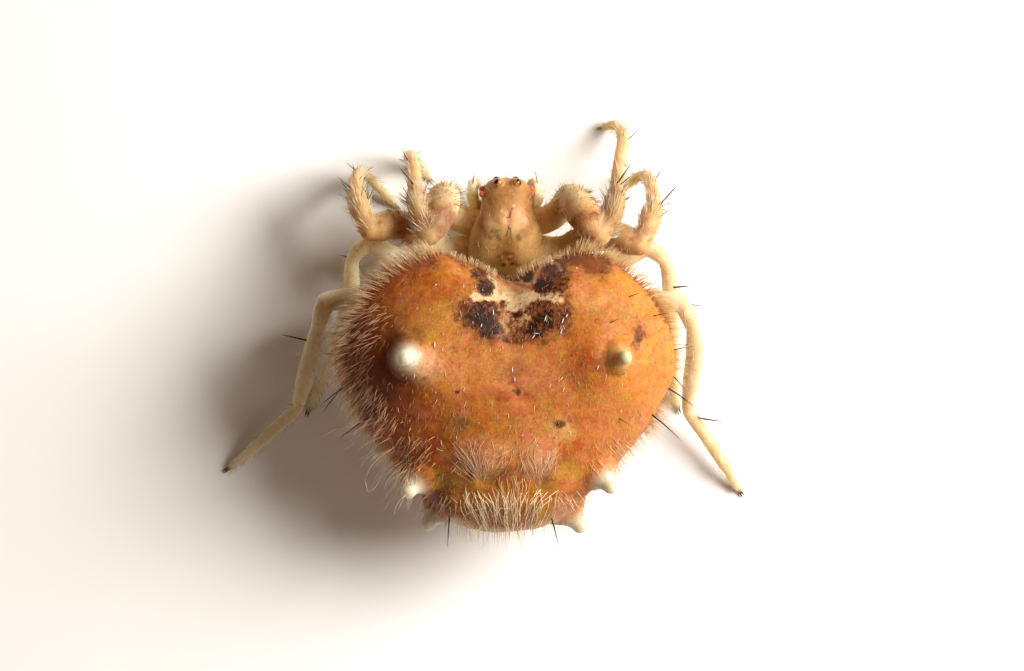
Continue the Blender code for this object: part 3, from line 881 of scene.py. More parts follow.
# Broad colours of the abdomen, with a dark left flank and a bright right flank that are partly painted shade
# and painted light, then the dark and cream pattern behind its front notch, then the spots further back and
# painted shade in the folds under the hind tufts.
ABDOMEN_MARKS = (
    Patch((-1.1, 1.0), (0.6, 0.42), "#CC8E40", 0.6, 0.7, 0.6, 0.2),
    Patch((1.75, 1.25), (0.6, 0.5), "#BE7C2A", 0.75, 0.7, 0.6, 0.2),
    Patch((-1.3, 1.65), (0.8, 0.45), "#BC5A1A", 0.6, 0.7, 0.7, 0.15),
    Patch((0.2, 0.1), (1.0, 0.55), "#D98A50", 0.7, 0.7, 0.5, 0.2),
    Patch((0.21, 0.22), (0.22, 0.25), "#A4603C", 0.5, 0.7, 0.8, 0.1, 0.12),
    Patch((0.55, -0.85), (0.6, 0.35), "#D08A40", 0.55, 0.7, 0.7, 0.15),
    Patch((-0.75, -0.7), (0.5, 0.36), "#B8742C", 0.5, 0.7, 0.7, 0.15),
    Patch((1.45, -0.55), (0.5, 0.45), "#D4743A", 0.6, 0.7, 0.7, 0.15),
    # Partly the flank's own red-brown and partly painted shade: the dark left flank, on the side away from
    # the lamp.
    Patch((-1.95, 0.1), (0.72, 0.95), "#743014", 0.9, 0.55, 0.45, 0.2, 0.12),
    Patch((-1.5, -0.95), (0.6, 0.65), "#B45826", 0.75, 0.6, 0.5, 0.2),
    Patch((-2.45, 0.75), (0.5, 0.7), "#98481C", 0.7, 0.6, 0.5, 0.2),
    Stroke(((-2.72, -0.1), (-2.4, -0.6), (-1.95, -1.2)), 0.14, "#C8641E", 0.8, 0.6),
    # Partly the flank's own orange and partly painted light: the bright right flank, on the side towards the
    # lamp.
    Patch((2.55, 0.35), (0.5, 1.3), "#E8963C", 0.7, 0.6, 0.5, 0.2),
    Patch((2.1, -0.95), (0.45, 0.7), "#D6844A", 0.6, 0.6, 0.5, 0.2),
    Patch((1.28, 1.5), (0.18, 0.32), "#D0854E", 0.5, 0.6, 0.9, 0.1),
    Patch((-0.62, 1.5), (0.16, 0.32), "#A85A20", 0.55, 0.5, 1.0, 0.1, 0.2),
    Patch((-1.1, 1.93), (0.13, 0.12), "#8A4A1C", 0.6, 0.6, 0.8, 0.08, 0.42),
    Patch((2.12, 1.12), (0.14, 0.18), "#9A7436", 0.6, 0.6, 0.5, 0.1),
    Patch((1.25, 1.74), (0.32, 0.14), "#A4602A", 0.55, 0.8, 0.9, 0.1, 0.2),
    Patch((2.05, 1.4), (0.4, 0.35), "#C88234", 0.45, 0.8, 0.6, 0.15),
    Stroke(
        ((0.8, 1.97), (1.15, 2.07), (1.45, 2.02), (1.72, 1.88)), 0.17, "#7C3A12", 0.95, 0.6, 0.7, 0.1,
        0.3,
    ),
    Stroke(((-0.6, 2.12), (-1.2, 2.22), (-1.75, 1.97), (-2.3, 1.5)), 0.12, "#9A4A18", 0.6, 0.6, 0.4),
    Patch((0.24, 1.0), (0.62, 0.36), "#A4703C", 0.8, 0.4, 0.9, 0.12, 0.4),
    Patch((0.32, 0.98), (0.36, 0.28), "#8A5630", 0.6, 0.5, 1.0, 0.09, 0.56),
    Patch((0.2, 1.06), (0.34, 0.2), "#E0B080", 0.6, 0.3, 2.4, 0.05, 0.3),
    Patch((0.6, 1.14), (0.3, 0.12), "#D8A470", 0.5, 0.3, 2.4, 0.05, 0.3),
    Patch((-0.4, 1.2), (0.26, 0.14), "#D8A060", 0.5, 0.3, 2.4, 0.05, 0.3),
    Patch((-0.32, 1.08), (0.32, 0.26), "#74401E", 0.7, 0.5, 0.9, 0.09, 0.6),
    Stroke(((-0.42, 1.14), (-0.28, 1.03), (-0.14, 0.85)), 0.13, BLACK, 0.55, 0.8, 0.9, 0.06, 0.86),
    Patch((-0.58, 1.22), (0.14, 0.1), "#84481E", 0.6, 0.5, 0.9, 0.07, 0.5),
    Patch((-0.2, 1.28), (0.14, 0.06), DARK_BROWN, 0.6, 0.5, 0.9, 0.06, 0.75),
    Patch((0.08, 1.28), (0.08, 0.08), BROWN, 0.6, 0.5, 0.9, 0.06, 0.6),
    Patch((0.29, 1.1), (0.09, 0.06), DARK_BROWN, 0.6, 0.5, 0.9, 0.05, 0.85),
    Patch((0.72, 1.2), (0.24, 0.12), BROWN, 0.7, 0.5, 0.9, 0.08, 0.62),
    Stroke(((0.58, 0.8), (0.68, 0.94), (0.94, 1.03)), 0.12, BLACK, 0.45, 0.8, 0.9, 0.06, 0.8),
    Patch((1.08, 1.05), (0.14, 0.26), "#7A4420", 0.6, 0.5, 1.0, 0.08, 0.5),
    Patch((0.74, 0.64), (0.07, 0.05), BROWN, 0.6, 0.5, 0.7, 0.05, 0.5),
    Patch((0.25, 0.68), (0.4, 0.07), BROWN, 0.45, 0.6, 1.2, 0.07, 0.42),
    Patch((0.25, 1.56), (0.4, 0.15), "#DAA46E", 0.9, 0.35, 0.6, 0.09),
    Stroke(((0.26, 1.61), (0.42, 1.56), (0.54, 1.52)), 0.03, "#B4552E", 0.85, 0.6, 0.6, 0.05),
    Stroke(((0.08, 1.63), (0.2, 1.56), (0.3, 1.5)), 0.028, "#CC7A3C", 0.75, 0.6, 0.6, 0.05),
    Stroke(
        ((-0.38, 1.39), (-0.05, 1.38), (0.3, 1.34), (0.62, 1.41), (1.02, 1.36)), 0.075, CREAM, 0.95, 0.35,
        0.7, 0.07,
    ),
    Patch((0.3, 1.26), (0.16, 0.12), CREAM, 0.95, 0.35, 0.8, 0.07),
    Stroke(
        ((-0.48, 2.0), (-0.28, 1.94), (-0.15, 1.8), (-0.1, 1.64), (-0.07, 1.44)), 0.06, CREAM, 0.95, 0.35,
        0.5, 0.06,
    ),
    Patch((-0.33, 1.8), (0.12, 0.14), BROWN, 0.7, 0.5, 0.9, 0.07, 0.68),
    Patch((-0.54, 1.97), (0.14, 0.11), "#8A4A22", 0.6, 0.5, 0.9, 0.07, 0.42),
    Patch((-0.22, 1.54), (0.12, 0.12), BLACK, 0.5, 0.8, 1.4, 0.05, 0.84),
    Patch((0.96, 1.67), (0.2, 0.24), "#70391A", 0.75, 0.5, 0.9, 0.08, 0.58),
    Patch((0.75, 1.57), (0.15, 0.14), BLACK, 0.5, 0.6, 0.9, 0.05, 0.85),
    Patch((0.84, 1.8), (0.12, 0.12), DARK_BROWN, 0.6, 0.6, 0.9, 0.06, 0.7),
    Stroke(
        ((0.58, 1.62), (0.62, 1.78), (0.76, 1.94), (0.96, 1.95), (1.03, 1.82)), 0.022, "#C4A080", 0.8,
        0.5, 0.5, 0.04,
    ),
    Stroke(((-0.08, 1.82), (0.1, 1.74), (0.3, 1.71)), 0.05, BLACK, 0.8, 0.5, 0.5, 0.05, 0.9),
    Patch((0.47, 1.73), (0.08, 0.09), BLACK, 0.8, 0.4, 0.4, 0.06, 1.0),
    Patch((0.01, -0.27), (0.16, 0.07), "#B04422", 0.7, 0.7, 1.1, 0.06, 0.1),
    Patch((0.51, -0.25), (0.14, 0.06), "#B04422", 0.65, 0.7, 1.1, 0.06, 0.1),
    Patch((0.26, -0.06), (0.09, 0.14), "#A84A2C", 0.6, 0.7, 1.0, 0.06, 0.15),
    Patch((0.32, -0.19), (0.04, 0.05), BLACK, 0.9, 0.4, 0.5, 0.04, 0.5),
    Stroke(((0.22, -0.15), (0.31, -0.2)), 0.016, BLACK, 0.8),
    Patch((-1.22, 0.04), (0.04, 0.04), "#4A140A", 1.0, 0.4, 0.2, 0.05),
    Patch((-0.69, -0.19), (0.045, 0.032), "#4A140A", 0.9, 0.4, 0.3, 0.05),
    Patch((-0.73, 0.53), (0.06, 0.06), "#7A3A1A", 0.7, 0.6, 0.9, 0.05, 0.2),
    Patch((0.09, -1.26), (0.026, 0.026), "#8A2A14", 0.9, 0.4, 0.2, 0.05),
    Patch((1.33, -1.59), (0.024, 0.024), "#5A1C10", 0.9, 0.4, 0.2, 0.05),
    Patch((-2.11, -0.81), (0.05, 0.04), "#3A1C10", 0.9, 0.3, 0.2, 0.05),
    Patch((1.02, -0.78), (0.22, 0.2), "#E2B868", 0.6, 0.6, 0.5, 0.1),
    Patch((1.01, -0.72), (0.09, 0.065), "#4A2C1C", 0.95, 0.35, 0.2, 0.05, 0.3),
    Patch((-0.66, -0.73), (0.15, 0.14), "#74603A", 0.65, 0.7, 0.4, 0.08),
    Patch((2.3, 0.72), (0.13, 0.26), "#8A4A2A", 0.6, 0.9, 0.6, 0.08, 0.3),
    Patch((2.32, 0.74), (0.06, 0.16), "#5A2A18", 0.55, 0.9, 0.8, 0.05, 0.5),
    Patch((1.82, 0.35), (0.25, 0.22), "#98501C", 0.65, 0.7, 0.5, 0.1),
    Patch((-1.22, 0.22), (0.22, 0.22), "#EBB488", 0.75, 0.8, 0.3, 0.1),
    Patch((-0.3, -1.32), (0.36, 0.3), "#E0A67C", 0.75, 0.7, 0.6, 0.08),
    Patch((0.66, -1.36), (0.32, 0.3), "#E0A67C", 0.75, 0.7, 0.6, 0.08),
    Patch((0.13, -1.1), (0.25, 0.14), "#DC9C60", 0.6, 0.7, 0.6, 0.08),
    Patch((-0.8, -1.66), (0.36, 0.18), "#AC7E26", 0.75, 0.6, 0.7, 0.1),
    Patch((1.19, -1.5), (0.28, 0.17), "#B88E28", 0.7, 0.6, 0.7, 0.1),
    Patch((0.6, -1.8), (0.34, 0.08), "#CC9628", 0.7, 0.6, 0.7, 0.08),
    Patch((0.22, -1.6), (0.34, 0.15), "#B06E44", 0.8, 0.5, 0.6, 0.08),
    # Painted shade: a brown arc in the crease under the hind tufts.
    Stroke(
        ((-0.04, -1.64), (0.08, -1.49), (0.3, -1.43), (0.48, -1.52)), 0.055, "#96522E", 0.7, 0.8, 0.5,
        0.06,
    ),
    Patch((0.39, -1.62), (0.08, 0.11), "#8A4C36", 0.65, 0.6, 0.5, 0.06, 0.12),
    # Painted shade in the creases under the hind tufts, left and right.
    Stroke(((-0.88, -1.36), (-0.66, -1.34), (-0.5, -1.46)), 0.06, "#96522E", 0.65, 0.8, 0.6, 0.06),
    Stroke(((0.86, -1.5), (0.98, -1.36), (1.12, -1.3)), 0.05, "#A05C30", 0.6, 0.8, 0.6, 0.06),
    Patch((-0.463, -1.574), (0.045, 0.07), "#52341F", 0.85, 0.5, 0.4, 0.05, 0.2),
    # Painted shade: a narrow band beside the right hind tuft.
    Patch((0.75, -1.68), (0.05, 0.12), "#9A6C3A", 0.6, 0.6, 0.6, 0.06),
    Patch((1.5, -1.68), (0.17, 0.12), "#AE5C3A", 0.7, 0.6, 0.6, 0.08),
    Patch((1.27, -1.91), (0.13, 0.1), "#8A5430", 0.8, 0.5, 0.4, 0.08, 0.1),
    Patch((-1.04, -1.88), (0.12, 0.06), "#7A4A34", 0.7, 0.6, 0.5, 0.08),
    Stroke(((-0.75, -1.76), (0.0, -1.86), (0.7, -1.86), (1.1, -1.8)), 0.07, "#C8702A", 0.35, 0.9, 0.8, 0.08),
    Patch((-1.0, -2.05), (0.26, 0.22), "#84401E", 0.85, 0.6, 0.6, 0.1),
    Patch((-0.3, -2.15), (0.36, 0.16), "#B87E30", 0.7, 0.6, 0.8, 0.08),
    Patch((0.35, -2.2), (0.2, 0.16), "#B4682C", 0.6, 0.6, 0.8, 0.08),
    Patch((0.76, -2.15), (0.2, 0.14), "#C08C2A", 0.75, 0.6, 0.7, 0.08),
    Patch((0.15, -2.0), (0.6, 0.1), "#E8B070", 0.5, 0.8, 0.8, 0.08),
    Patch((-0.4, -2.14), (0.035, 0.03), "#5A3A2A", 0.8, 0.4, 0.3, 0.05),
    Patch((0.6, -2.12), (0.07, 0.035), "#7A5A3A", 0.6, 0.5, 0.6, 0.05),
    Patch((1.1, -2.22), (0.2, 0.26), "#E0A078", 0.75, 0.7, 0.4, 0.1),
    Stroke(
        ((-0.78, -2.36), (-0.3, -2.5), (0.2, -2.58), (0.6, -2.52), (0.92, -2.4)), 0.1, "#E8D0A0", 0.85,
        0.6, 0.4, 0.08,
    ),
)

PROSOMA_MARKS = (
    # Painted light: the thorax's left side, which lies in shade, is painted paler.
    Patch((-0.34, 2.3), (0.3, 0.5), "#F6CA80", 0.9, 0.6, 0.3, 0.12),
    Patch((0.5, 2.25), (0.26, 0.45), "#E6B870", 0.7, 0.6, 0.3, 0.12),
    Patch((-0.26, 3.14), (0.07, 0.1), "#B85A2C", 0.85, 0.6, 0.3, 0.05),
    Patch((0.5, 3.14), (0.07, 0.1), "#B85A2C", 0.85, 0.6, 0.3, 0.05),
    Patch((0.13, 1.85), (0.5, 0.16), "#BC8636", 0.6, 0.6, 0.4, 0.1),
    Patch((0.06, 2.7), (0.4, 0.26), "#F0BE84", 0.85, 0.5, 0.3, 0.1),
    Patch((0.2, 3.04), (0.36, 0.24), "#BC8448", 0.75, 0.6, 0.4, 0.1),
    Patch((0.15, 2.18), (0.18, 0.24), "#AA7034", 0.65, 0.6, 0.5, 0.1),
    Stroke(((-0.27, 2.85), (-0.31, 2.6), (-0.2, 2.42)), 0.06, "#A8602C", 0.65, 0.8, 0.5, 0.1),
    Stroke(((0.52, 2.85), (0.54, 2.6), (0.44, 2.45)), 0.06, "#A8602C", 0.6, 0.8, 0.5, 0.1),
    Patch((0.048, 2.837), (0.024, 0.03), "#F0D6A4", 0.8, 0.5, 0.2, 0.05),
    Patch((0.248, 2.913), (0.024, 0.024), "#F0D6A4", 0.8, 0.5, 0.2, 0.05),
    Stroke(((0.215, 2.872), (0.173, 2.713)), 0.011, "#7A4222", 0.85),
    Stroke(((0.083, 2.738), (0.152, 2.713)), 0.01, "#8A4E28", 0.75),
    Stroke(((0.162, 2.575), (0.15, 2.49), (0.125, 2.408)), 0.014, "#4A3A1C", 0.8),
    Stroke(((0.167, 2.575), (0.197, 2.49), (0.2, 2.367)), 0.014, "#4A3A1C", 0.8),
    Stroke(((-0.09, 2.5), (-0.06, 2.43), (-0.02, 2.39)), 0.05, "#64602C", 0.6, 0.6, 1.0, 0.045, 0.15),
    Patch((-0.138, 2.383), (0.05, 0.03), "#64602C", 0.55, 0.5, 1.0, 0.04, 0.1),
    Patch((0.332, 2.375), (0.05, 0.045), "#4E5A2C", 0.65, 0.5, 1.0, 0.04, 0.1),
    Patch((0.39, 2.49), (0.05, 0.035), "#8A6030", 0.5, 0.6, 0.8, 0.04),
    Stroke(((0.15, 2.35), (0.14, 2.16)), 0.07, "#A0642E", 0.6, 0.9, 0.5, 0.05),
    Stroke(((0.02, 2.3), (-0.04, 2.18)), 0.016, "#8A6A34", 0.5),
    Stroke(((0.28, 2.34), (0.33, 2.2)), 0.016, "#8A6A34", 0.45),
    Patch((0.15, 2.11), (0.1, 0.035), "#5A3416", 0.75, 0.6, 0.8, 0.04, 0.2),
    Patch((0.145, 2.0), (0.16, 0.1), "#A86C28", 0.7, 0.6, 0.7, 0.04, 0.15),
    Patch((0.185, 2.055), (0.03, 0.02), "#DE963E", 0.8, 0.5, 0.4, 0.04),
    Patch((0.12, 1.98), (0.045, 0.025), "#D8903A", 0.8, 0.5, 0.4, 0.04),
    Patch((0.05, 2.05), (0.03, 0.02), "#C8863A", 0.7, 0.5, 0.4, 0.04),
    Patch((0.18, 2.02), (0.03, 0.022), "#4A2A10", 0.9, 0.4, 0.4, 0.04),
    Patch((0.228, 1.947), (0.034, 0.028), "#2E1C0C", 0.9, 0.4, 0.4, 0.04),
    Patch((0.075, 1.925), (0.04, 0.026), "#5A3414", 0.85, 0.4, 0.4, 0.04),
    Patch((0.31, 1.93), (0.06, 0.022), "#56501E", 0.7, 0.5, 0.6, 0.04),
    Patch((-0.013, 2.06), (0.035, 0.03), "#6A5A28", 0.6, 0.5, 0.6, 0.04),
    Patch((0.02, 1.98), (0.025, 0.03), "#6A4A1C", 0.6, 0.5, 0.6, 0.04),
)

# Marks of the forelegs: painted shade on the rim where a femur turns towards the knee, and the joints.
LEG_MARKS = (
    # Painted shade: the darker rims of the right and left front femora where they turn towards the knee.
    Stroke(
        ((1.18, 2.42), (1.2, 2.58), (1.35, 2.7), (1.63, 2.76)), 0.075, "#B0683C", 0.6, 0.9, 0.4, 0.06,
        0.2,
    ),
    Stroke(
        ((-1.1, 2.88), (-0.92, 2.84), (-0.79, 2.7), (-0.77, 2.45)), 0.065, "#B0683C", 0.6, 0.9, 0.4, 0.06,
        0.2,
    ),
    Patch((1.55, 2.42), (0.24, 0.18), "#E0AC7A", 0.6, 0.7, 0.3, 0.1),
    Patch((-0.9, 2.62), (0.26, 0.34), "#946440", 0.8, 0.8, 0.3, 0.1),
    Patch((1.9, 3.0), (0.18, 0.42), "#A07848", 0.8, 0.8, 0.3, 0.1),
    Patch((1.82, 2.2), (0.05, 0.03), "#C0602C", 0.85, 0.5, 0.3, 0.05),
    Patch((2.22, 2.35), (0.045, 0.03), "#C8703A", 0.85, 0.5, 0.3, 0.05),
    Patch((2.43, 2.1), (0.05, 0.03), "#C0602C", 0.85, 0.5, 0.3, 0.05),
    Patch((-1.33, 2.23), (0.045, 0.03), "#C0602C", 0.85, 0.5, 0.3, 0.05),
    Patch((-1.0, 2.38), (0.045, 0.03), "#C8703A", 0.7, 0.5, 0.3, 0.05),
    Patch((-2.25, 2.42), (0.045, 0.035), "#C0602C", 0.85, 0.5, 0.3, 0.05),
    Patch((-2.0, 2.63), (0.05, 0.03), "#C8703A", 0.7, 0.5, 0.3, 0.05),
)


def lay_marks(colours: Array, marks: tuple, seen: Array, points: Array, where: Array) -> Array:
    """Blend marks into colours, one after the other.

    Args:
        colours: Rows of linear colour and share of specks.
        marks: Patches and strokes.
        seen: Points as the camera sees them.
        points: The same points in space.
        where: Share of each mark that each point may take.

    Returns:
        The blended rows.
    """
    for mark in marks:
        share = (mark.weight(seen, points) * where)[:, None]
        specks = mark.speck_share(seen) * where
        colours[:, :3] = colours[:, :3] * (1.0 - share) + linear(mark.colour) * share
        colours[:, 3] = np.maximum(colours[:, 3] * (1.0 - share[:, 0]), specks)
    return colours


def seen_from_camera(points: Array) -> Array:
    """Give the plan of points along the line of sight, which leans a little from the left."""
    return np.column_stack([points[:, 0] + LEAN_SHIFT * points[:, 2], points[:, 1]])


def mottled(points: Array, tones: tuple[str, ...], size: float, shift: int) -> Array:
    """Blend a few tones by noise.

    Args:
        points: Rows of x, y and z.
        tones: Colours from the darkest to the lightest.
        size: Width of a feature in millimetres.
        shift: Which independent pattern to use.

    Returns:
        Rows of linear colour and a share of specks, which is 0.
    """
    share = np.clip(GRAIN.layered(points, size, 3, shift) * 0.9 + 0.5, 0.0, 1.0)
    place = share * (len(tones) - 1)
    table = np.array([[*linear(tone), 0.0] for tone in tones])
    low = np.minimum(place.astype(int), len(tones) - 2)
    blend = (place - low)[:, None]
    return table[low] * (1.0 - blend) + table[low + 1] * blend


def tinted(colours: Array, code: str, share: Array) -> Array:
    """Blend one colour into rows of colour and specks.

    Args:
        colours: Rows of linear colour and share of specks.
        code: The colour.
        share: How much of it each row takes.

    Returns:
        The blended rows, with their specks thinned by as much.
    """
    target = np.array([*linear(code), 0.0])
    return colours * (1.0 - share[:, None]) + target * share[:, None]


@dataclass(frozen=True)
class Cloud:
    """A tint that drifts over the skin in soft clouds, sized in millimetres."""

    colour: str
    strength: float
    size: float
    octaves: int
    rise: tuple[float, float]
    pattern: int

    def share(self, points: Array) -> Array:
        """How much of the tint each point takes."""
        return self.strength * eased(GRAIN.layered(points, self.size, self.octaves, self.pattern), *self.rise)


# Pink and yellow clouds over the abdomen's bright ground, broad ones first and then small ones.
ABDOMEN_CLOUDS = (
    Cloud("#DA7A58", 0.3, 0.34, 3, (0.0, 0.55), 43),
    Cloud("#D89A38", 0.34, 0.42, 3, (0.0, 0.55), 47),
    Cloud("#E48C60", 0.34, 0.14, 2, (0.05, 0.5), 53),
    Cloud("#DCA23C", 0.26, 0.12, 2, (0.05, 0.5), 59),
)


# Body forms


@dataclass(frozen=True)
class Tubercle:
    """One pair of tubercles: where their roots lie, how they lean, and their sizes in millimetres."""

    place: tuple[float, float, float]
    lean: tuple[float, float, float]
    base: float
    tip: float
    length: float
    shift: float

    def radii(self, smaller: float) -> tuple[float, float]:
        """Radii at the base and the tip, made smaller by a share."""
        return self.base * smaller, self.tip * smaller


@dataclass(frozen=True)
class Cone:
    """A tubercle where it stands on the skin."""

    root: Array
    direction: Array
    base: float
    tip: float
    length: float
    kind: str
    side: Side

    def measure(self, points: Array) -> tuple[Array, Array]:
        """How far along the cone's line each point is, and how far off it."""
        along = (points - self.root) @ self.direction
        off = np.linalg.norm(points - self.root - along[:, None] * self.direction, axis=1)
        return along, off

    def bell(self, along: Array) -> Array:
        """Radius at distances along the cone, flared like the foot of a bell."""
        share = np.clip(along / (self.length - self.tip), 0.0, 1.0)
        return self.tip + (self.base - self.tip) * (1.0 - share) ** 1.9

    def shell(self) -> bpy.types.Object:
        """Make the closed cone, with its foot inside the abdomen."""
        reaches = np.linspace(-0.35, self.length - self.tip, 9)
        points = self.root + self.direction * reaches[:, None]
        stations = tuple(zip(np.linspace(0.0, 1.0, 9), self.bell(reaches)))
        return Tube(points, stations, 4, 36).shell(f"tubercle {self.kind} {self.side.word}")

    def rounded(self, points: Array) -> Array:
        """Bring the points of the melted skin near the cone to a clean cone with a round tip."""
        along = (points - self.root) @ self.direction
        near = (along > 0.05 * self.length) & (np.linalg.norm(points - self.root, axis=1) < 1.4 * self.length)
        level = np.clip(along[near], 0.0, self.length - self.tip)
        centre = self.root + self.direction * level[:, None]
        spoke = points[near] - centre
        reach = np.linalg.norm(spoke, axis=1)
        share = eased(along[near], 0.12 * self.length, 0.35 * self.length)
        share *= 1.0 - eased(reach, 0.42, 0.5)
        spoke *= (1.0 + share * (self.bell(level) / np.maximum(reach, 1e-6) - 1.0))[:, None]
        points[near] = centre + spoke
        return points


@dataclass
class Abdomen:
    """The heart-shaped abdomen with its six tubercles and the spinnerets below it."""

    outline: tuple = (
        (0.0, 1.72), (0.72, 1.99), (1.2, 2.16), (1.78, 1.98), (2.4, 1.47), (2.8, 0.72), (2.87, 0.2),
        (2.6, -0.42), (2.05, -1.2), (1.7, -1.62), (1.4, -1.92), (1.2, -2.17), (0.82, -2.42), (0.0, -2.56),
    )
    widest_level: float = 2.2
    top: float = 1.32
    depth_below: float = 1.72
    top_power: float = 2.25
    under_power: float = 1.8
    rear_fall: float = 0.11
    undercut: float = 0.45
    hump_place: tuple = (1.62, 0.36)
    hump_height: float = 0.3
    hump_spread: float = 0.7
    inset: float = 0.025
    turns: int = 260
    levels: int = 120
    tubercles: dict = field(
        default_factory=lambda: {
            "dorsal": Tubercle((1.64, 0.37, 3.3), (0.3, 0.02, 1.0), 0.38, 0.14, 0.43, 0.07),
            "posterior": Tubercle((1.26, -1.33, 2.3), (0.56, -0.62, 0.5), 0.38, 0.135, 0.42, 0.07),
            "hind": Tubercle((0.99, -2.06, 1.75), (0.6, -0.78, 0.02), 0.38, 0.125, 0.43, -0.03),
        }
    )
    right_dorsal_share: float = 0.76
    cones: list = field(default_factory=list)

    def outline_reach(self, turn: Array) -> Array:
        """Distance from the middle to the outline, with the turn measured from the front."""
        angles = np.array([math.atan2(x, y) for x, y in self.outline])
        reaches = np.array([math.hypot(x, y) for x, y in self.outline])
        angles = np.concatenate([[-angles[1]], angles, [math.tau - angles[-2]]])
        reaches = np.concatenate([[reaches[1]], reaches, [reaches[-2]]])
        turn = np.abs((turn + math.pi) % math.tau - math.pi)
        index = np.clip(np.searchsorted(angles, turn + 1e-9) - 1, 1, len(angles) - 3)
        width = angles[index + 1] - angles[index]
        share = (turn - angles[index]) / width
        slopes = np.zeros(len(angles))
        slopes[1:-1] = (reaches[2:] - reaches[:-2]) / (angles[2:] - angles[:-2])
        square = share * share
        cube = square * share
        return (
            (2.0 * cube - 3.0 * square + 1.0) * reaches[index]
            + (cube - 2.0 * square + share) * width * slopes[index]
            + (3.0 * square - 2.0 * cube) * reaches[index + 1]
            + (cube - square) * width * slopes[index + 1]
        )

    def surface(self, turn: Array, drop: Array) -> Array:
        """Find places on the abdomen.

        Args:
            turn: Angles round it from the front, in radians.
            drop: Shares of the way from the top to the underside.

        Returns:
            Rows of x, y and z.
        """
        upright = np.cos(math.pi * drop)
        power = np.where(upright > 0.0, self.top_power, self.under_power)
        level = np.sign(upright) * np.abs(upright) ** (2.0 / power)
        reach = np.abs(np.sin(math.pi * drop)) ** (2.0 / power) * self.outline_reach(turn)
        across = reach * np.sin(turn)
        along = reach * np.cos(turn)
        height = level * np.where(level > 0.0, self.top, self.depth_below)
        from_hump = np.hypot(np.abs(across) - self.hump_place[0], along - self.hump_place[1])
        bell = np.exp(-((from_hump / self.hump_spread) ** 2))
        height = height + self.hump_height * bell * np.maximum(level, 0.0)
        height = height + self.rear_fall * along
        front = eased(along, -1.2, 1.4)
        along = along + self.undercut * np.minimum(height, 0.0) * front
        return np.column_stack([across, along, self.widest_level + height])

    def normals(self, turn: Array, drop: Array) -> Array:
        """Outward directions of the abdomen at its places."""
        step = 0.01
        round_it = self.surface(turn + step, drop) - self.surface(turn - step, drop)
        down_it = self.surface(turn, drop + step) - self.surface(turn, drop - step)
        return unit(np.cross(round_it, down_it))

    def relief(self, points: Array) -> Array:
        """Folds, pits and swellings of the skin, in millimetres outwards."""
        x, y = points[:, 0], points[:, 1]
        upper = eased(points[:, 2], 1.2, 2.4)
        crease = y + 1.93 - 0.12 * x * x
        folds = -0.02 * np.exp(-((crease / 0.05) ** 2)) * (1.0 - eased(np.abs(x), 1.0, 1.4))
        for middle, reach, rise in (
            ((-0.4, -1.66), 0.14, -0.045),
            ((0.53, -1.7), 0.14, -0.045),
            ((0.08, -1.6), 0.2, 0.04),
            ((-0.45, -1.3), 0.25, 0.025),
            ((0.5, -1.33), 0.25, 0.025),
        ):
            folds += rise * np.exp(-(((x - middle[0]) ** 2 + (y - middle[1]) ** 2) / reach**2))
        lumps = GRAIN.layered(points, 0.55, 2, 11) * 0.035
        pores = GRAIN.single(points, 0.12, 15) * 0.008
        pits = np.zeros(len(points))
        for middle, width in (((1.0, -0.73), 0.1), ((-0.78, -0.73), 0.1), ((0.15, -0.2), 0.07)):
            distance = np.hypot(x - middle[0], y - middle[1]) / width
            pits -= 0.03 * np.exp(-distance * distance)
        saddle = -0.05 * np.exp(-((x / 0.5) ** 2 + ((y - 1.25) / 0.45) ** 2))
        return folds + lumps + pores + (pits + saddle) * upper

    def shell(self) -> bpy.types.Object:
        """Make the bare abdomen, a little inside the solid."""
        turn = np.arange(self.turns) * math.tau / self.turns
        rings = []
        for index in range(self.levels + 1):
            drop = index / self.levels
            around = turn if 0 < index < self.levels else turn[:1]
            rings.append(self.surface(around, np.full(len(around), drop)))
        made = stack_rings("abdomen shell", rings)
        points = mesh_points(made)
        normals = mesh_normals(made)
        shift = self.relief(points) - self.inset
        set_points(made, points + normals * shift[:, None])
        return made

    def tubercle_shells(self, bare: bpy.types.Object) -> list[bpy.types.Object]:
        """Make the six tubercles where lines from inside leave the abdomen.

        Args:
            bare: The bare abdomen.

        Returns:
            Closed shells that overlap it; the cones that they follow are kept in cones.
        """
        tree = search_tree(bare)
        for side in Side:
            mirror = np.array([side.value, 1.0, 1.0])
            for kind, tubercle in self.tubercles.items():
                direction = unit(np.array(tubercle.lean) * mirror)
                inside = np.array(tubercle.place) * mirror + np.array([tubercle.shift, 0.0, 0.0])
                inside = inside - direction * 0.6
                root = np.array(tree.ray_cast(Vector(inside), Vector(direction))[0])
                # The right dorsal tubercle has grown smaller than the left one.
                smaller = self.right_dorsal_share if (kind, side) == ("dorsal", Side.RIGHT) else 1.0
                base, tip = tubercle.radii(smaller)
                self.cones.append(Cone(root, direction, base, tip, tubercle.length, kind, side))
        return [cone.shell() for cone in self.cones]

    def round_tubercles(self, skin: bpy.types.Object) -> None:
        """Bring each tubercle of the melted skin to a clean cone with a round tip."""
        points = mesh_points(skin)
        for cone in self.cones:
            points = cone.rounded(points)
        set_points(skin, points)

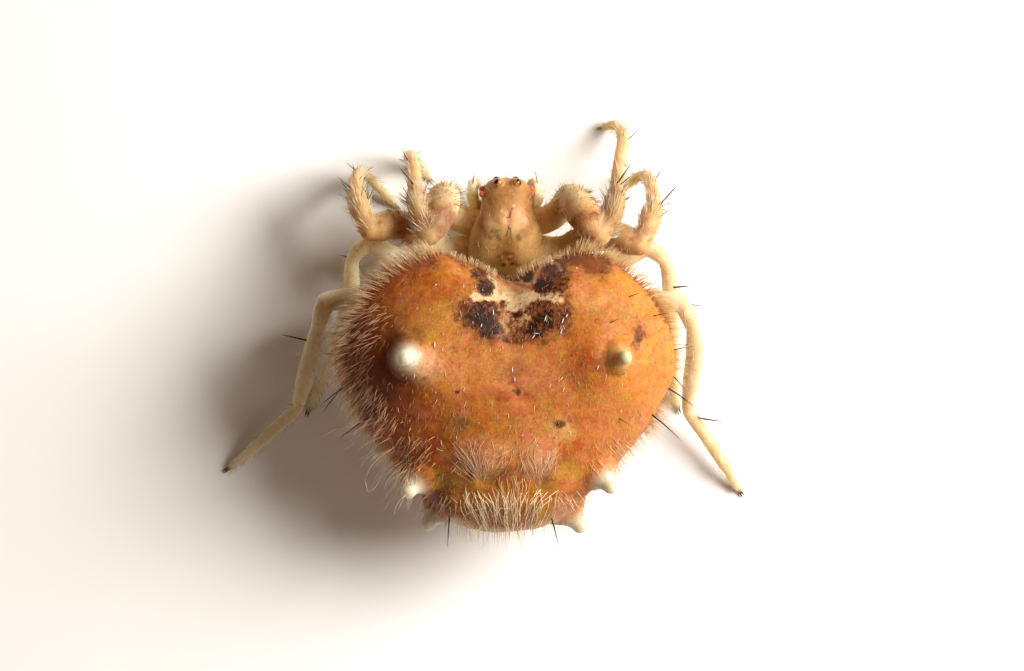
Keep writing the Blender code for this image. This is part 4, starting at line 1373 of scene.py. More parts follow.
    def spinneret_shells(self, bare: bpy.types.Object) -> list[bpy.types.Object]:
        """Make the spinnerets: a low mound with six little cones."""
        tree = search_tree(bare)
        root = np.array(tree.ray_cast(Vector((0.0, -1.25, 1.2)), Vector((0.0, 0.0, -1.0)))[0])
        lean = unit(np.array([0.0, -0.35, -1.0]))
        mound = Tube(
            np.array([root - lean * 0.3, root, root + lean * 0.08]),
            ((0.0, 0.3), (0.6, 0.28), (1.0, 0.2)),
            4,
            24,
        )
        shells = [mound.shell("spinneret mound")]
        for index in range(6):
            turn = math.tau * (index + 0.5) / 6
            offset = np.array([math.cos(turn) * 0.12, math.sin(turn) * 0.12, 0.0])
            points = np.array(
                [root + offset * 0.8, root + offset + lean * 0.12, root + offset * 0.6 + lean * 0.22]
            )
            shells.append(Tube(points, ((0.0, 0.085), (1.0, 0.04)), 4, 14).shell("spinneret"))
        return shells


@dataclass
class Prosoma:
    """Head and thorax in one shell, with the eye mounds, chelicerae and palps."""

    sections: tuple = (
        (3.38, 0.27, 1.62, 1.26), (3.30, 0.36, 1.72, 1.08), (3.10, 0.43, 1.84, 0.94),
        (2.85, 0.46, 1.93, 0.82), (2.50, 0.61, 1.92, 0.70), (2.15, 0.66, 1.80, 0.66),
        (1.80, 0.62, 1.64, 0.68), (1.50, 0.46, 1.46, 0.76), (1.32, 0.24, 1.30, 0.88),
    )
    power: float = 2.3
    sides: int = 64
    inset: float = 0.02
    # How far each eye and its mound lie under the eye's place, and the mound's radius, as shares
    # of the eye's radius.
    sunk: float = 0.32
    front_sunk: float = 0.75
    mound_sunk: float = 0.42
    mound_girth: float = 1.22
    eyes: dict = field(
        default_factory=lambda: {
            "posterior_median": ((0.25, 0.35, 1.0), 0.085),
            "anterior_median": ((0.2, 0.85, -0.45), 0.066),
            "anterior_lateral": ((0.95, 0.5, 0.15), 0.052),
            "posterior_lateral": ((1.0, 0.2, 0.5), 0.052),
        }
    )
    chelicera_path: tuple = ((0.19, 2.98, 1.12), (0.2, 3.14, 0.95), (0.19, 3.22, 0.68), (0.17, 3.2, 0.42))
    palp_path: tuple = (
        (0.36, 2.9, 0.96), (0.53, 2.98, 1.02), (0.55, 3.18, 1.02), (0.52, 3.3, 0.8), (0.45, 3.32, 0.4),
    )
    chelicera_stations: tuple = ((0.0, 0.13), (0.35, 0.15), (0.7, 0.13), (1.0, 0.06))
    palp_stations: tuple = (
        (0.0, 0.09), (0.2, 0.105), (0.27, 0.09), (0.42, 0.105), (0.5, 0.088),
        (0.66, 0.1), (0.72, 0.088), (0.86, 0.1), (1.0, 0.045),
    )
    pedicel_path: tuple = ((0.0, 1.5, 1.08), (0.0, 1.1, 1.07), (0.0, 0.75, 1.06))
    pedicel_stations: tuple = ((0.0, 0.2), (0.5, 0.17), (1.0, 0.21))

    def shell(self) -> bpy.types.Object:
        """Make the bare prosoma with a groove behind the head and a pit in the thorax."""
        knots = np.array(self.sections)
        fine = smooth_line(knots, 6)
        turns = np.arange(self.sides) * math.tau / self.sides
        rings = []
        for place, half_width, top, bottom in fine:
            middle = 0.5 * (top + bottom)
            half_height = 0.5 * (top - bottom)
            across = np.sign(np.cos(turns)) * np.abs(np.cos(turns)) ** (2.0 / self.power)
            up = np.sign(np.sin(turns)) * np.abs(np.sin(turns)) ** (2.0 / self.power)
            rings.append(
                np.column_stack(
                    [
                        PROSOMA_MIDDLE + across * half_width,
                        np.full(self.sides, place),
                        middle + up * half_height,
                    ]
                )
            )
        first, last = knots[0], knots[-1]
        rings.insert(0, np.array([[PROSOMA_MIDDLE, first[0] + 0.04, 0.5 * (first[2] + first[3])]]))
        rings.append(np.array([[PROSOMA_MIDDLE, last[0] - 0.05, 0.5 * (last[2] + last[3])]]))
        made = stack_rings("prosoma shell", rings)
        points = mesh_points(made)
        set_points(made, points + mesh_normals(made) * (self.relief(points) - self.inset)[:, None])
        return made

    def relief(self, points: Array) -> Array:
        """Grooves and pits of the carapace, in millimetres outwards."""
        x, y = np.abs(points[:, 0] - PROSOMA_MIDDLE), points[:, 1]
        upper = eased(points[:, 2], 1.3, 1.6)
        pit = np.exp(-((x / 0.035) ** 2 + ((y - 2.72) / 0.1) ** 2)) * 0.06
        groove_at = 0.14 + (y - 2.45) * 0.55
        groove = np.exp(-(((x - groove_at) / 0.06) ** 2)) * eased(y, 2.35, 2.55) * eased(-y, -3.05, -2.8)
        furrows = np.cos((y - 2.2) * math.tau / 0.34) * eased(x, 0.15, 0.35) * eased(-y, -2.6, -2.3)
        lumps = GRAIN.layered(points, 0.2, 2, 21) * 0.01
        return lumps - (0.7 * pit + groove * 0.018 + furrows * 0.006) * upper

    def eye_seats(self) -> dict[str, tuple[Array, Array, float]]:
        """Middle, gaze and radius of each eye, from where the frame holds its node."""
        seats = {}
        for kind, (gaze, radius) in self.eyes.items():
            for side in Side:
                name = f"eye_{kind}_{side.word}"
                low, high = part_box(name)
                direction = unit(np.array(gaze) * np.array([side.value, 1.0, 1.0]))
                middle = BODY.to_body((np.array(low) + np.array(high)) / 2.0)
                sunk = self.front_sunk if kind == "anterior_median" else self.sunk
                seats[name] = (middle - direction * radius * sunk, direction, radius)
        return seats

    def head_shells(self) -> list[bpy.types.Object]:
        """Make the prosoma's shells: the body, eye mounds, chelicerae, palps and pedicel."""
        shells = [self.shell()]
        for name, (middle, direction, radius) in self.eye_seats().items():
            foot = middle - direction * radius * self.mound_sunk
            shells.append(ball(f"mound {name}", foot, radius * self.mound_girth))
        for side in Side:
            jaw = Tube(self.mirrored(self.chelicera_path, side), self.chelicera_stations, 8, 24)
            shells.append(jaw.shell(f"chelicera {side.word}"))
            shells.append(self.palp(side).shell(f"palp {side.word}"))
        pedicel = Tube(np.array(self.pedicel_path), self.pedicel_stations, 6, 24)
        return shells + [pedicel.shell("pedicel")]

    def mirrored(self, path: tuple, side: Side) -> Array:
        """Lay a path of the right side on one side of the head."""
        return np.array(path) * np.array([side.value, 1.0, 1.0]) + np.array([PROSOMA_MIDDLE, 0.0, 0.0])

    def palp(self, side: Side) -> Tube:
        """Lay out one palp with its joints."""
        return Tube(self.mirrored(self.palp_path, side), self.palp_stations, 9, 18, (side.value, 0.3, 0.0))


LEG_PATHS = {
    "right_1": (
        (0.42, 2.66, 0.97), (0.80, 2.72, 1.02), (1.03, 2.95, 1.20), (1.15, 3.03, 1.60),
        (1.30, 2.78, 1.98), (1.56, 2.45, 2.14), (1.76, 2.70, 2.10), (1.88, 3.20, 1.75),
        (1.97, 3.67, 1.20), (2.07, 4.10, 0.62), (1.97, 4.32, 0.30), (1.75, 4.28, 0.02),
    ),
    "left_1": (
        (-0.42, 2.66, 0.97), (-0.74, 2.72, 1.02), (-0.92, 2.95, 1.20), (-1.00, 3.06, 1.60),
        (-1.08, 2.82, 1.98), (-1.28, 2.45, 2.16), (-1.42, 2.75, 2.12), (-1.50, 3.23, 1.75),
        (-1.51, 3.58, 1.20), (-1.55, 3.78, 0.60), (-1.42, 3.68, 0.30), (-1.18, 3.40, 0.02),
    ),
    "right_2": (
        (0.45, 2.24, 0.92), (0.95, 2.22, 0.95), (1.29, 2.34, 1.20), (1.80, 2.41, 1.55),
        (2.25, 2.27, 1.82), (2.42, 2.60, 1.82), (2.53, 2.97, 1.52), (2.51, 3.27, 1.10),
        (2.49, 3.43, 0.60), (2.37, 3.45, 0.30), (2.10, 3.22, 0.02),
    ),
    "left_2": (
        (-0.45, 2.24, 0.92), (-0.95, 2.22, 0.95), (-1.29, 2.42, 1.18), (-1.81, 2.60, 1.50),
        (-2.24, 2.51, 1.78), (-2.39, 2.79, 1.80), (-2.51, 3.17, 1.50), (-2.45, 3.40, 1.05),
        (-2.38, 3.50, 0.60), (-2.20, 3.38, 0.32), (-1.75, 2.93, 0.02),
    ),
    "right_3": (
        (0.45, 1.88, 0.90), (0.95, 1.85, 0.85), (1.96, 2.03, 1.02), (2.42, 2.26, 1.12),
        (2.76, 1.97, 1.02), (2.88, 1.33, 0.76), (2.91, 0.58, 0.48), (2.95, -0.08, 0.24),
        (3.06, -0.52, 0.02),
    ),
    "left_3": (
        (-0.45, 1.88, 0.90), (-0.95, 1.85, 0.85), (-1.74, 2.03, 1.02), (-2.24, 2.32, 1.12),
        (-2.52, 2.03, 1.02), (-2.55, 1.42, 0.76), (-2.75, 0.67, 0.48), (-3.03, -0.03, 0.24),
        (-3.26, -0.56, 0.02),
    ),
    "right_4": (
        (0.42, 1.54, 0.92), (0.9, 1.40, 0.80), (1.62, 1.28, 0.95), (2.44, 1.31, 1.30),
        (3.03, 1.30, 1.48), (3.24, 0.62, 1.18), (3.17, -0.53, 0.60), (3.53, -1.03, 0.42),
        (3.89, -1.57, 0.26), (4.13, -1.94, 0.02),
    ),
    "left_4": (
        (-0.42, 1.54, 0.92), (-0.9, 1.40, 0.80), (-1.72, 1.33, 0.95), (-2.56, 1.35, 1.30),
        (-3.00, 1.32, 1.48), (-3.18, 0.62, 1.18), (-3.45, -0.48, 0.60), (-3.84, -0.85, 0.42),
        (-4.30, -1.27, 0.26), (-4.63, -1.53, 0.02),
    ),
}
LEG_JOINTS = {"1": (5, 7), "2": (4, 6), "3": (3, 6), "4": (4, 6)}

# Shape of each length of a leg: places along it and radii in millimetres, for a foreleg.
FEMUR_STATIONS = (
    (0.0, 0.235), (0.14, 0.245), (0.2, 0.225), (0.27, 0.23), (0.33, 0.21), (0.5, 0.25), (0.78, 0.29),
    (0.93, 0.27), (1.0, 0.22),
)
TIBIA_STATIONS = (
    (0.0, 0.17), (0.14, 0.19), (0.26, 0.17), (0.32, 0.15), (0.55, 0.185), (0.78, 0.19), (0.94, 0.15),
    (1.0, 0.12),
)
FOOT_STATIONS = (
    (0.0, 0.105), (0.07, 0.118), (0.3, 0.11), (0.58, 0.105), (0.66, 0.082), (0.74, 0.09), (0.9, 0.076),
    (1.0, 0.045),
)
LEG_GIRTH = {"1": (1.0, 1.0, 1.0), "2": (0.9, 1.0, 1.0), "3": (0.62, 0.76, 0.92), "4": (0.66, 0.8, 0.98)}


@dataclass
class Leg:
    """One leg in three lengths: femur, patella with tibia, and metatarsus with tarsus."""

    label: str
    lengths: dict = field(default_factory=dict)

    def __post_init__(self) -> None:
        """Lay the three tubes along the leg's path."""
        points = np.array(LEG_PATHS[self.label])
        knee, shin_end = LEG_JOINTS[self.number]
        spans = (points[:knee + 1], points[knee:shin_end + 1], points[shin_end:])
        shapes = (FEMUR_STATIONS, TIBIA_STATIONS, FOOT_STATIONS)
        for part, span, shape, girth in zip(
            ("femur", "tibia", "foot"), spans, shapes, LEG_GIRTH[self.number]
        ):
            stations = tuple((place, radius * girth) for place, radius in shape)
            self.lengths[part] = Tube(span, stations, 12, 22, (self.side.value, 0.3, 0.0))

    @property
    def number(self) -> str:
        """The leg's number from the front."""
        return self.label[-1]

    @property
    def side(self) -> Side:
        """The side that the leg is on."""
        return Side.RIGHT if self.label.startswith("right") else Side.LEFT

    def shells(self) -> list[bpy.types.Object]:
        """Make the three closed lengths."""
        return [tube.shell(f"leg {self.label} {part}") for part, tube in self.lengths.items()]

    def nodes(self) -> list[str]:
        """Names of the frame's nodes that this leg stands for."""
        return [f"leg_{self.label}_{part}" for part in self.lengths]


@dataclass
class BodyPlace:
    """Where the modelling point lies in the frame."""

    corner: Array = field(default_factory=lambda: np.zeros(3))

    def find(self) -> None:
        """Read the place from the prosoma, whose middle line and front are known."""
        low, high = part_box("prosoma")
        middle = 0.5 * (low.x + high.x) - PROSOMA_MIDDLE * MM
        self.corner = np.array([middle, high.y - PROSOMA_FRONT * MM, 0.0])

    def to_body(self, place: Array) -> Array:
        """Turn a place in the frame, in metres, into body millimetres."""
        return (place - self.corner) / MM

    def settle(self, piece: bpy.types.Object) -> None:
        """Turn a mesh made in body millimetres into the frame's metres."""
        set_points(piece, mesh_points(piece) * MM + self.corner)


BODY = BodyPlace()


@dataclass
class Skin:
    """One closed skin over the whole animal, painted with its markings."""

    abdomen: Abdomen
    prosoma: Prosoma
    legs: list[Leg]
    abdomen_voxel: float = 0.036
    head_voxel: float = 0.026
    leg_voxel: float = 0.031
    lowest: float = 0.002
    body_tone: float = 0.68
    head_tone: float = 0.7
    leg_tone: float = 0.76
    # The right forelegs, in full light, take a darker tone as painted shade, and the left leg III, in the
    # body's shadow, a paler one as painted light.
    lit_leg_tone: float = 0.73
    shaded_leg_tone: float = 0.98
    # No leg reaches a point that lies behind this place and above this height.
    leg_limit: float = 1.9
    trees: dict = field(default_factory=dict)

    def build(self) -> bpy.types.Object:
        """Make the skin, colour it and let it stand for every node of flesh.

        Returns:
            The finished object.
        """
        bare = self.abdomen.shell()
        shells = self.abdomen.tubercle_shells(bare) + self.abdomen.spinneret_shells(bare)
        skin = fuse("skin", [bare] + shells, self.abdomen_voxel, 4)
        self.abdomen.round_tubercles(skin)
        self.trees[Region.ABDOMEN] = search_tree(skin)
        head = fuse("head", self.prosoma.head_shells(), self.head_voxel, 3)
        self.trees[Region.PROSOMA] = search_tree(head)
        limbs = [fuse(f"leg {leg.label}", leg.shells(), self.leg_voxel, 3) for leg in self.legs]
        self.trees[Region.LEG] = [search_tree(limb) for limb in limbs]
        unite(skin, [head] + limbs)
        points = mesh_points(skin)
        points[:, 2] = np.maximum(points[:, 2], self.lowest)
        set_points(skin, points)
        regions, leg_of = self.regions_of(points)
        paint(skin, self.colours(points, regions, leg_of))
        self.dress(skin, regions)
        BODY.settle(skin)
        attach(skin, "root")
        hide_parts(*self.replaced_nodes())
        return skin

    def replaced_nodes(self) -> list[str]:
        """Names of all the nodes of flesh."""
        names = ["abdomen", "prosoma", "pedicel", "spinnerets"]
        for side in Side:
            names += [f"tubercle_{kind}_{side.word}" for kind in self.abdomen.tubercles]
            names += [f"chelicera_{side.word}", f"palp_{side.word}"]
        for leg in self.legs:
            names += leg.nodes()
        return names

    def regions_of(self, points: Array) -> tuple[Array, Array]:
        """Tell which part of the body each point belongs to.

        Args:
            points: Rows of x, y and z.

        Returns:
            Numbers of the regions, and numbers of the legs, which are -1 off the legs.
        """
        regions = np.zeros(len(points), int)
        leg_of = np.full(len(points), -1)
        for index, point in enumerate(points):
            place = Vector(point)
            best = self.trees[Region.ABDOMEN].find_nearest(place)[3]
            other = self.trees[Region.PROSOMA].find_nearest(place)[3]
            if other < best:
                best, regions[index] = other, Region.PROSOMA.value
            if point[1] < self.leg_limit and point[2] > self.leg_limit:
                continue
            for number, tree in enumerate(self.trees[Region.LEG]):
                hit = tree.find_nearest(place, best)[3]
                if hit is not None and hit < best:
                    best, regions[index] = hit, Region.LEG.value
                    leg_of[index] = number
        for cone in self.abdomen.cones:
            along, off = cone.measure(points)
            cap = (along > 0.25 * cone.length) & (off < 0.4) & (regions == Region.ABDOMEN.value)
            regions[cap] = Region.TUBERCLE.value
        return regions, leg_of

    def colours(self, points: Array, regions: Array, leg_of: Array) -> Array:
        """Colour every point of the skin by its region, and leg by leg.

        Args:
            points: Rows of x, y and z.
            regions: Number of each point's region.
            leg_of: Number of each point's leg.

        Returns:
            Rows of linear colour and share of specks.
        """
        colours = np.zeros((len(points), 4))
        for region, rule, tone in (
            (Region.ABDOMEN, self.abdomen_colours, self.body_tone),
            (Region.TUBERCLE, self.abdomen_colours, self.body_tone),
            (Region.PROSOMA, self.prosoma_colours, self.head_tone),
        ):
            chosen = regions == region.value
            colours[chosen] = rule(points[chosen])
            colours[chosen, :3] *= tone
        for number, leg in enumerate(self.legs):
            chosen = (regions == Region.LEG.value) & (leg_of == number)
            colours[chosen] = leg_colours(leg, points[chosen])
            colours[chosen, :3] *= self.tone_of(leg)
        return colours

    def tone_of(self, leg: Leg) -> float:
        """Tone of a leg's cuticle, with painted light and shade: palest on the left leg III, which lies in
        the body's shadow, darkest on the right forelegs, which face the lamp.
        """
        if leg.label == "left_3":
            return self.shaded_leg_tone
        if leg.label in ("right_1", "right_2"):
            return self.lit_leg_tone
        return self.leg_tone

    def abdomen_colours(self, points: Array) -> Array:
        """Orange skin with its marks above, paler below, and ivory on the tubercles."""
        seen = seen_from_camera(points)
        colours = mottled(points, ("#B2520F", "#C4681C", "#CC7A26", "#C88A28"), 0.6, 31)
        fine = GRAIN.layered(points, 0.2, 3, 35)
        colours[:, :3] *= (1.0 + 0.25 * fine)[:, None]
        colours[:, 3] = 0.12 * eased(GRAIN.layered(points, 0.5, 2, 37), 0.0, 0.6)
        upper = eased(points[:, 2], 1.5, 2.0)
        colours = lay_marks(colours, ABDOMEN_MARKS, seen, points, upper)
        from_pattern = np.hypot((seen[:, 0] - 0.3) / 0.85, (seen[:, 1] - 1.3) / 0.7)
        plain = eased(from_pattern, 0.8, 1.3) * eased(colours[:, 0], 0.2, 0.5)
        for cloud in ABDOMEN_CLOUDS:
            colours = tinted(colours, cloud.colour, cloud.share(points) * plain)
        below = 1.0 - eased(points[:, 2], 0.9, 2.0)
        under = mottled(points, ("#8A5A2C", "#B98848", "#D0A565"), 0.5, 41)
        colours = colours * (1.0 - 0.8 * below)[:, None] + under * (0.8 * below)[:, None]
        for cone in self.abdomen.cones:
            colours = self.tubercle_colours(colours, points, cone)
        return colours

    def tubercle_colours(self, colours: Array, points: Array, cone: Cone) -> Array:
        """Let a tubercle turn from orange to ivory; the right dorsal one only on its outer side, with a
        lighter blush that is painted light lifting the shade on its side away from the lamp.
        """
        length = cone.length
        along, off = cone.measure(points)
        near = 1.0 - eased(off, 0.3, 0.46)
        blush_and_painted_light = eased(along, -0.05 * length, 0.4 * length) * near
        tip = eased(along, 0.08 * length, 0.55 * length) * near
        pale, warm = ("#E6DCC0" if cone.kind == "hind" else "#F4EBCF"), "#E4A06C"
        if (cone.kind, cone.side) == ("dorsal", Side.RIGHT):
            # Painted light: the right dorsal tubercle's blush is lighter, to lift the shade on its side away
            # from the lamp.
            pale, warm = "#DCD2A4", "#F2B468"
            outer_side = eased(points @ np.array([0.9, 0.2, 0.0]), 1.44, 1.74)
            tip = tip * eased(along, 0.3 * length, 0.8 * length) * outer_side
        return tinted(tinted(colours, warm, blush_and_painted_light * 0.8), pale, tip)

    def prosoma_colours(self, points: Array) -> Array:
        """Tan carapace with its pattern, paler palps and sternum, darker jaws' tips."""
        seen = seen_from_camera(points)
        colours = mottled(points, ("#BE8440", "#CC944E", "#D8A662"), 0.25, 51)
        upper = eased(points[:, 2], 1.25, 1.5)
        colours = lay_marks(colours, PROSOMA_MARKS, seen, points, upper)
        sides = 1.0 - eased(points[:, 2], 1.1, 1.5)
        colours = tinted(colours, "#DCC08A", 0.7 * sides)
        from_middle = np.abs(points[:, 0] - PROSOMA_MIDDLE)
        outer = eased(from_middle, 0.46, 0.52) * eased(points[:, 1], 2.8, 2.95)
        outer *= 1.0 - eased(points[:, 2], 1.15, 1.3)
        colours = tinted(colours, "#FFECC8", 0.95 * outer)
        colours[:, :3] *= (1.0 + 0.35 * outer)[:, None]
        fangs = (1.0 - eased(points[:, 2], 0.4, 0.6)) * eased(points[:, 1], 3.0, 3.1)
        fangs *= 1.0 - eased(from_middle, 0.28, 0.36)
        return tinted(colours, "#5A2A14", 0.8 * fangs)

    def dress(self, skin: bpy.types.Object, regions: Array) -> None:
        """Give each face the finish of its region."""
        finishes = (ABDOMEN_CUTICLE, CARAPACE_CUTICLE, LEG_CUTICLE, TUBERCLE_CUTICLE)
        skin.data.materials.clear()
        for finish in finishes:
            skin.data.materials.append(finish.build())
        starts = np.empty(len(skin.data.polygons), np.int32)
        skin.data.polygons.foreach_get("loop_start", starts)
        corners = np.empty(len(skin.data.loops), np.int32)
        skin.data.loops.foreach_get("vertex_index", corners)
        skin.data.polygons.foreach_set("material_index", regions[corners[starts]].astype(np.int32))
        skin.data.shade_smooth()


def leg_colours(leg: Leg, points: Array) -> Array:
    """Colour a leg: peach or straw, redder at the joints, dark at the tips of the hind legs; the foreleg
    bases beside the body are brightened as painted light, and the femur rims carry painted shade.

    Args:
        leg: The leg.
        points: Rows of x, y and z on it.

    Returns:
        Rows of linear colour.
    """
    if leg.number in "12":
        tones = ("#C8965A", "#D8AC72", "#E6C694")
    else:
        tones = ("#D8C094", "#E4D0AA", "#ECDDBE")
    colours = mottled(points, tones, 0.3, 61)
    if leg.number in "12":
        from_middle = np.abs(points[:, 0])
        pale = 1.0 - eased(from_middle + points[:, 2] * 0.3, 1.45, 2.05)
        foot = 1.0 - eased(points[:, 2], 0.5, 1.2)
        colours = tinted(colours, "#E8D0A0", 0.85 * np.maximum(pale, foot * 0.8))
        # Painted light: the leg bases beside the body, in the shade under the carapace, are brightened.
        painted_light_near_body = 1.0 - eased(from_middle, 0.7, 0.95)
        colours[:, :3] *= (1.0 + 0.35 * painted_light_near_body)[:, None]
        upper = eased(points[:, 2], 1.4, 1.6)
        colours = lay_marks(colours, LEG_MARKS, seen_from_camera(points), points, upper)
    tip = leg.lengths["foot"].line[-1]
    distance = np.linalg.norm(points - tip, axis=1)
    depth = 0.85 if leg.number in "34" else 0.3
    return tinted(colours, "#6E4A2A", (1.0 - eased(distance, 0.05, 0.16)) * depth)


# Hairs


@dataclass
class Coat:
    """A crop of hairs, each a thin bent cone of mesh, gathered into one piece.

    A hair has a ring of corners at each level, a share of its length, with a share of its radius
    from widths. It starts as far under the skin as sink says. Hairs that come lower than the
    clearance are left out, and no corner lies lower than lowest.
    """

    name: str
    sink: float = 0.03
    batches: list = field(default_factory=list)
    sides: int = 3
    levels: tuple = (0.0, 0.32, 0.62, 0.86)
    widths: tuple = (1.0, 0.88, 0.64, 0.32)
    tone: float = 0.8
    patch: float = 0.0015
    lowest: float = 0.004
    clearance: float = 0.02

    def add(
        self,
        roots: Array,
        directions: Array,
        bends: Array,
        lengths: Array,
        radii: Array,
        root_colours: Array,
        tip_colours: Array,
        places: Array,
    ) -> None:
        """Add many hairs at once.

        Args:
            roots: Where they leave the skin.
            directions: Which way they start.
            bends: Which way and how far they bend, as shares of their length.
            lengths: Their lengths in millimetres.
            radii: Their radii at the root in millimetres.
            root_colours: Linear colours at the root.
            tip_colours: Linear colours at the tip.
            places: Where the roots lie on the unwrapped skin.
        """
        self.batches.append(
            (roots, unit(directions), bends, lengths, radii, root_colours, tip_colours, places)
        )

    def add_one(
        self,
        root: Array,
        direction: Array,
        bend: Array,
        length: float,
        radius: float,
        colours: tuple[Array, Array],
        place: tuple[float, float],
    ) -> None:
        """Add a single hair, described as in add, with the colours of its root and tip."""
        self.add(
            root[None, :],
            direction[None, :],
            bend[None, :],
            np.array([length]),
            np.array([radius]),
            colours[0][None, :],
            colours[1][None, :],
            np.array([place]),
        )

    def build(self, slot: str, material: bpy.types.Material) -> bpy.types.Object:
        """Make the mesh, its colours and its map of roots.

        Args:
            slot: Material slot of the record.
            material: The hairs' finish.

        Returns:
            slot: Not used.
        """
        columns = [np.concatenate(column) for column in zip(*self.batches)]
        roots, directions, bends, lengths = columns[:4]
        tips = roots + (directions + bends) * lengths[:, None]
        keep = np.minimum(tips[:, 2], roots[:, 2]) > self.clearance
        *shapes, start_colours, end_colours, places = (column[keep] for column in columns)
        rings = self.rings(*shapes)
        each = len(rings)
        count = len(places)
        points = np.stack(rings, 1).reshape(-1, 3)
        points[:, 2] = np.maximum(points[:, 2], self.lowest)
        pattern = self.face_pattern(each)
        faces = [
            [corner + index * each for corner in face] for index in range(count) for face in pattern
        ]
        made = new_object(self.name, points, faces)
        steps = [level for level in self.levels for _ in range(self.sides)] + [1.0]
        colours = [start_colours * (1.0 - step) + end_colours * step for step in steps]
        paint(made, self.tone * np.stack(colours, 1).reshape(-1, 3))
        self.map_roots(made, places, each)
        made.data.materials.append(material)
        made.data.shade_smooth()
        BODY.settle(made)
        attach(made, "root")
        LOG.info("%s: %d hairs, %d faces", self.name, count, len(faces))
        return made

    def rings(
        self, roots: Array, directions: Array, bends: Array, lengths: Array, radii: Array
    ) -> list[Array]:
        """Find the corners of all hairs, level by level.

        Args:
            roots: Where the hairs leave the skin.
            directions: Which way they start.
            bends: Which way and how far they bend.
            lengths: Their lengths.
            radii: Their radii at the root.

        Returns:
            One array of places for each corner of a hair, the tip last.
        """
        helper = np.where(np.abs(directions[:, 2:3]) > 0.8, [[1.0, 0.0, 0.0]], [[0.0, 0.0, 1.0]])
        across = unit(np.cross(directions, helper))
        upward = np.cross(across, directions)
        corners = []
        for level, width in zip(self.levels, self.widths):
            start = -self.sink if level == 0.0 else 0.0
            centre = roots + directions * (lengths * level + start)[:, None]
            centre = centre + bends * (lengths * level * level)[:, None]
            for side in range(self.sides):
                turn = math.tau * side / self.sides
                offset = across * math.cos(turn) + upward * math.sin(turn)
                corners.append(centre + offset * (radii * width)[:, None])
        corners.append(roots + (directions + bends) * lengths[:, None])
        return corners

    def face_pattern(self, each: int) -> list[list[int]]:
        """List the faces of one hair: its foot, its sides and its tip, for so many corners."""
        pattern = [[0, 2, 1]]
        for level in range(len(self.levels) - 1):
            for side in range(self.sides):
                low = level * self.sides + side
                after = level * self.sides + (side + 1) % self.sides
                pattern.append([low, after, after + self.sides, low + self.sides])
        last = (len(self.levels) - 1) * self.sides
        pattern += [[last + side, last + (side + 1) % self.sides, each - 1] for side in range(self.sides)]
        return pattern

    def map_roots(self, made: bpy.types.Object, places: Array, each: int) -> None:
        """Give every hair a small patch of the map at its root's place.

        Args:
            made: The coat.
            places: Places of the roots on the unwrapped skin.
            each: Corners of one hair.
        """
        layer = made.data.uv_layers.new(name="OFBake")
        corners = np.empty(len(made.data.loops), np.int64)
        made.data.loops.foreach_get("vertex_index", corners)
        hair = corners // each
        part = corners % each
        spread = np.column_stack([part % self.sides - 1.0, part // self.sides - 1.0])
        flat = places[hair] + spread * self.patch / 2.0
        layer.data.foreach_set("uv", np.clip(flat, 0.0, 1.0).astype(np.float32).ravel())


@dataclass(frozen=True)
class Crop:
    """One kind of hair on a stretch of the abdomen; angles in degrees, sizes in millimetres."""

    count: int
    turns: tuple[float, float]
    drops: tuple[float, float]
    length: tuple[float, float]
    radius: float
    root: str
    tip: str
    rise: float
    back: float
    out: float
    curl: float
    wave: float = 0.2
    left_share: float = 0.5


ABDOMEN_CROPS = (
    Crop(520, (6.0, 36.0), (0.4, 0.54), (0.1, 0.17), 0.0044, "#9A5420", "#F4C27A", 1.0, 0.0, 0.2, 0.1, 0.12),
    Crop(
        800, (30.0, 78.0), (0.37, 0.55), (0.19, 0.34), 0.0044, "#8A4618", "#FAD08E", 0.8, 0.25, 0.4, 0.22,
        0.14, 1.0,
    ),
    Crop(
        460, (28.0, 70.0), (0.42, 0.55), (0.19, 0.34), 0.0042, "#B4661E", "#F8C878", 0.85, 0.2, 0.4, 0.2,
        0.14, 0.0,
    ),
    Crop(150, (0.0, 11.0), (0.4, 0.52), (0.05, 0.09), 0.004, "#5A3418", "#CC9450", 1.0, 0.0, 0.0, 0.1, 0.15),
    Crop(
        340, (70.0, 104.0), (0.37, 0.56), (0.18, 0.34), 0.0044, "#C88448", "#FFE6BC", 0.9, 0.45, 0.3,
        0.35, 0.2, 1.0,
    ),
    Crop(
        270, (66.0, 110.0), (0.44, 0.56), (0.18, 0.32), 0.0038, "#D8903C", "#FFDCA0", 1.0, 0.15, 0.4, 0.2,
        0.2, 0.0,
    ),
    Crop(
        320, (100.0, 134.0), (0.44, 0.56), (0.16, 0.32), 0.004, "#D89A60", "#FFE8C4", 0.9, 0.4, 0.3, 0.3,
        0.3,
    ),
    Crop(240, (128.0, 180.0), (0.46, 0.62), (0.16, 0.3), 0.004, "#D9A872", "#F8E4C0", 0.9, 0.5, 0.2, 0.4),
    Crop(
        1100, (0.0, 180.0), (0.08, 0.36), (0.05, 0.1), 0.0036, "#D07C40", "#F0BC84", 0.25, 0.7, 0.1, 0.2,
        0.4,
    ),
    Crop(
        250, (58.0, 112.0), (0.27, 0.42), (0.16, 0.3), 0.0044, "#CC8450", "#FAD4A4", 0.45, 0.6, 0.45, 0.3,
        0.3, 1.0,
    ),
    Crop(
        160, (60.0, 128.0), (0.3, 0.44), (0.1, 0.18), 0.0036, "#E49A50", "#FFD498", 0.5, 0.5, 0.4, 0.3,
        0.3, 0.0,
    ),
    Crop(80, (0.0, 180.0), (0.05, 0.3), (0.05, 0.09), 0.008, "#E8CCB0", "#FAF0E4", 0.15, 0.9, 0.0, 0.05, 0.8),
    Crop(500, (0.0, 180.0), (0.64, 0.9), (0.1, 0.22), 0.005, "#B98850", "#E8CFA0", 0.7, 0.5, 0.1, 0.3, 0.4),
)


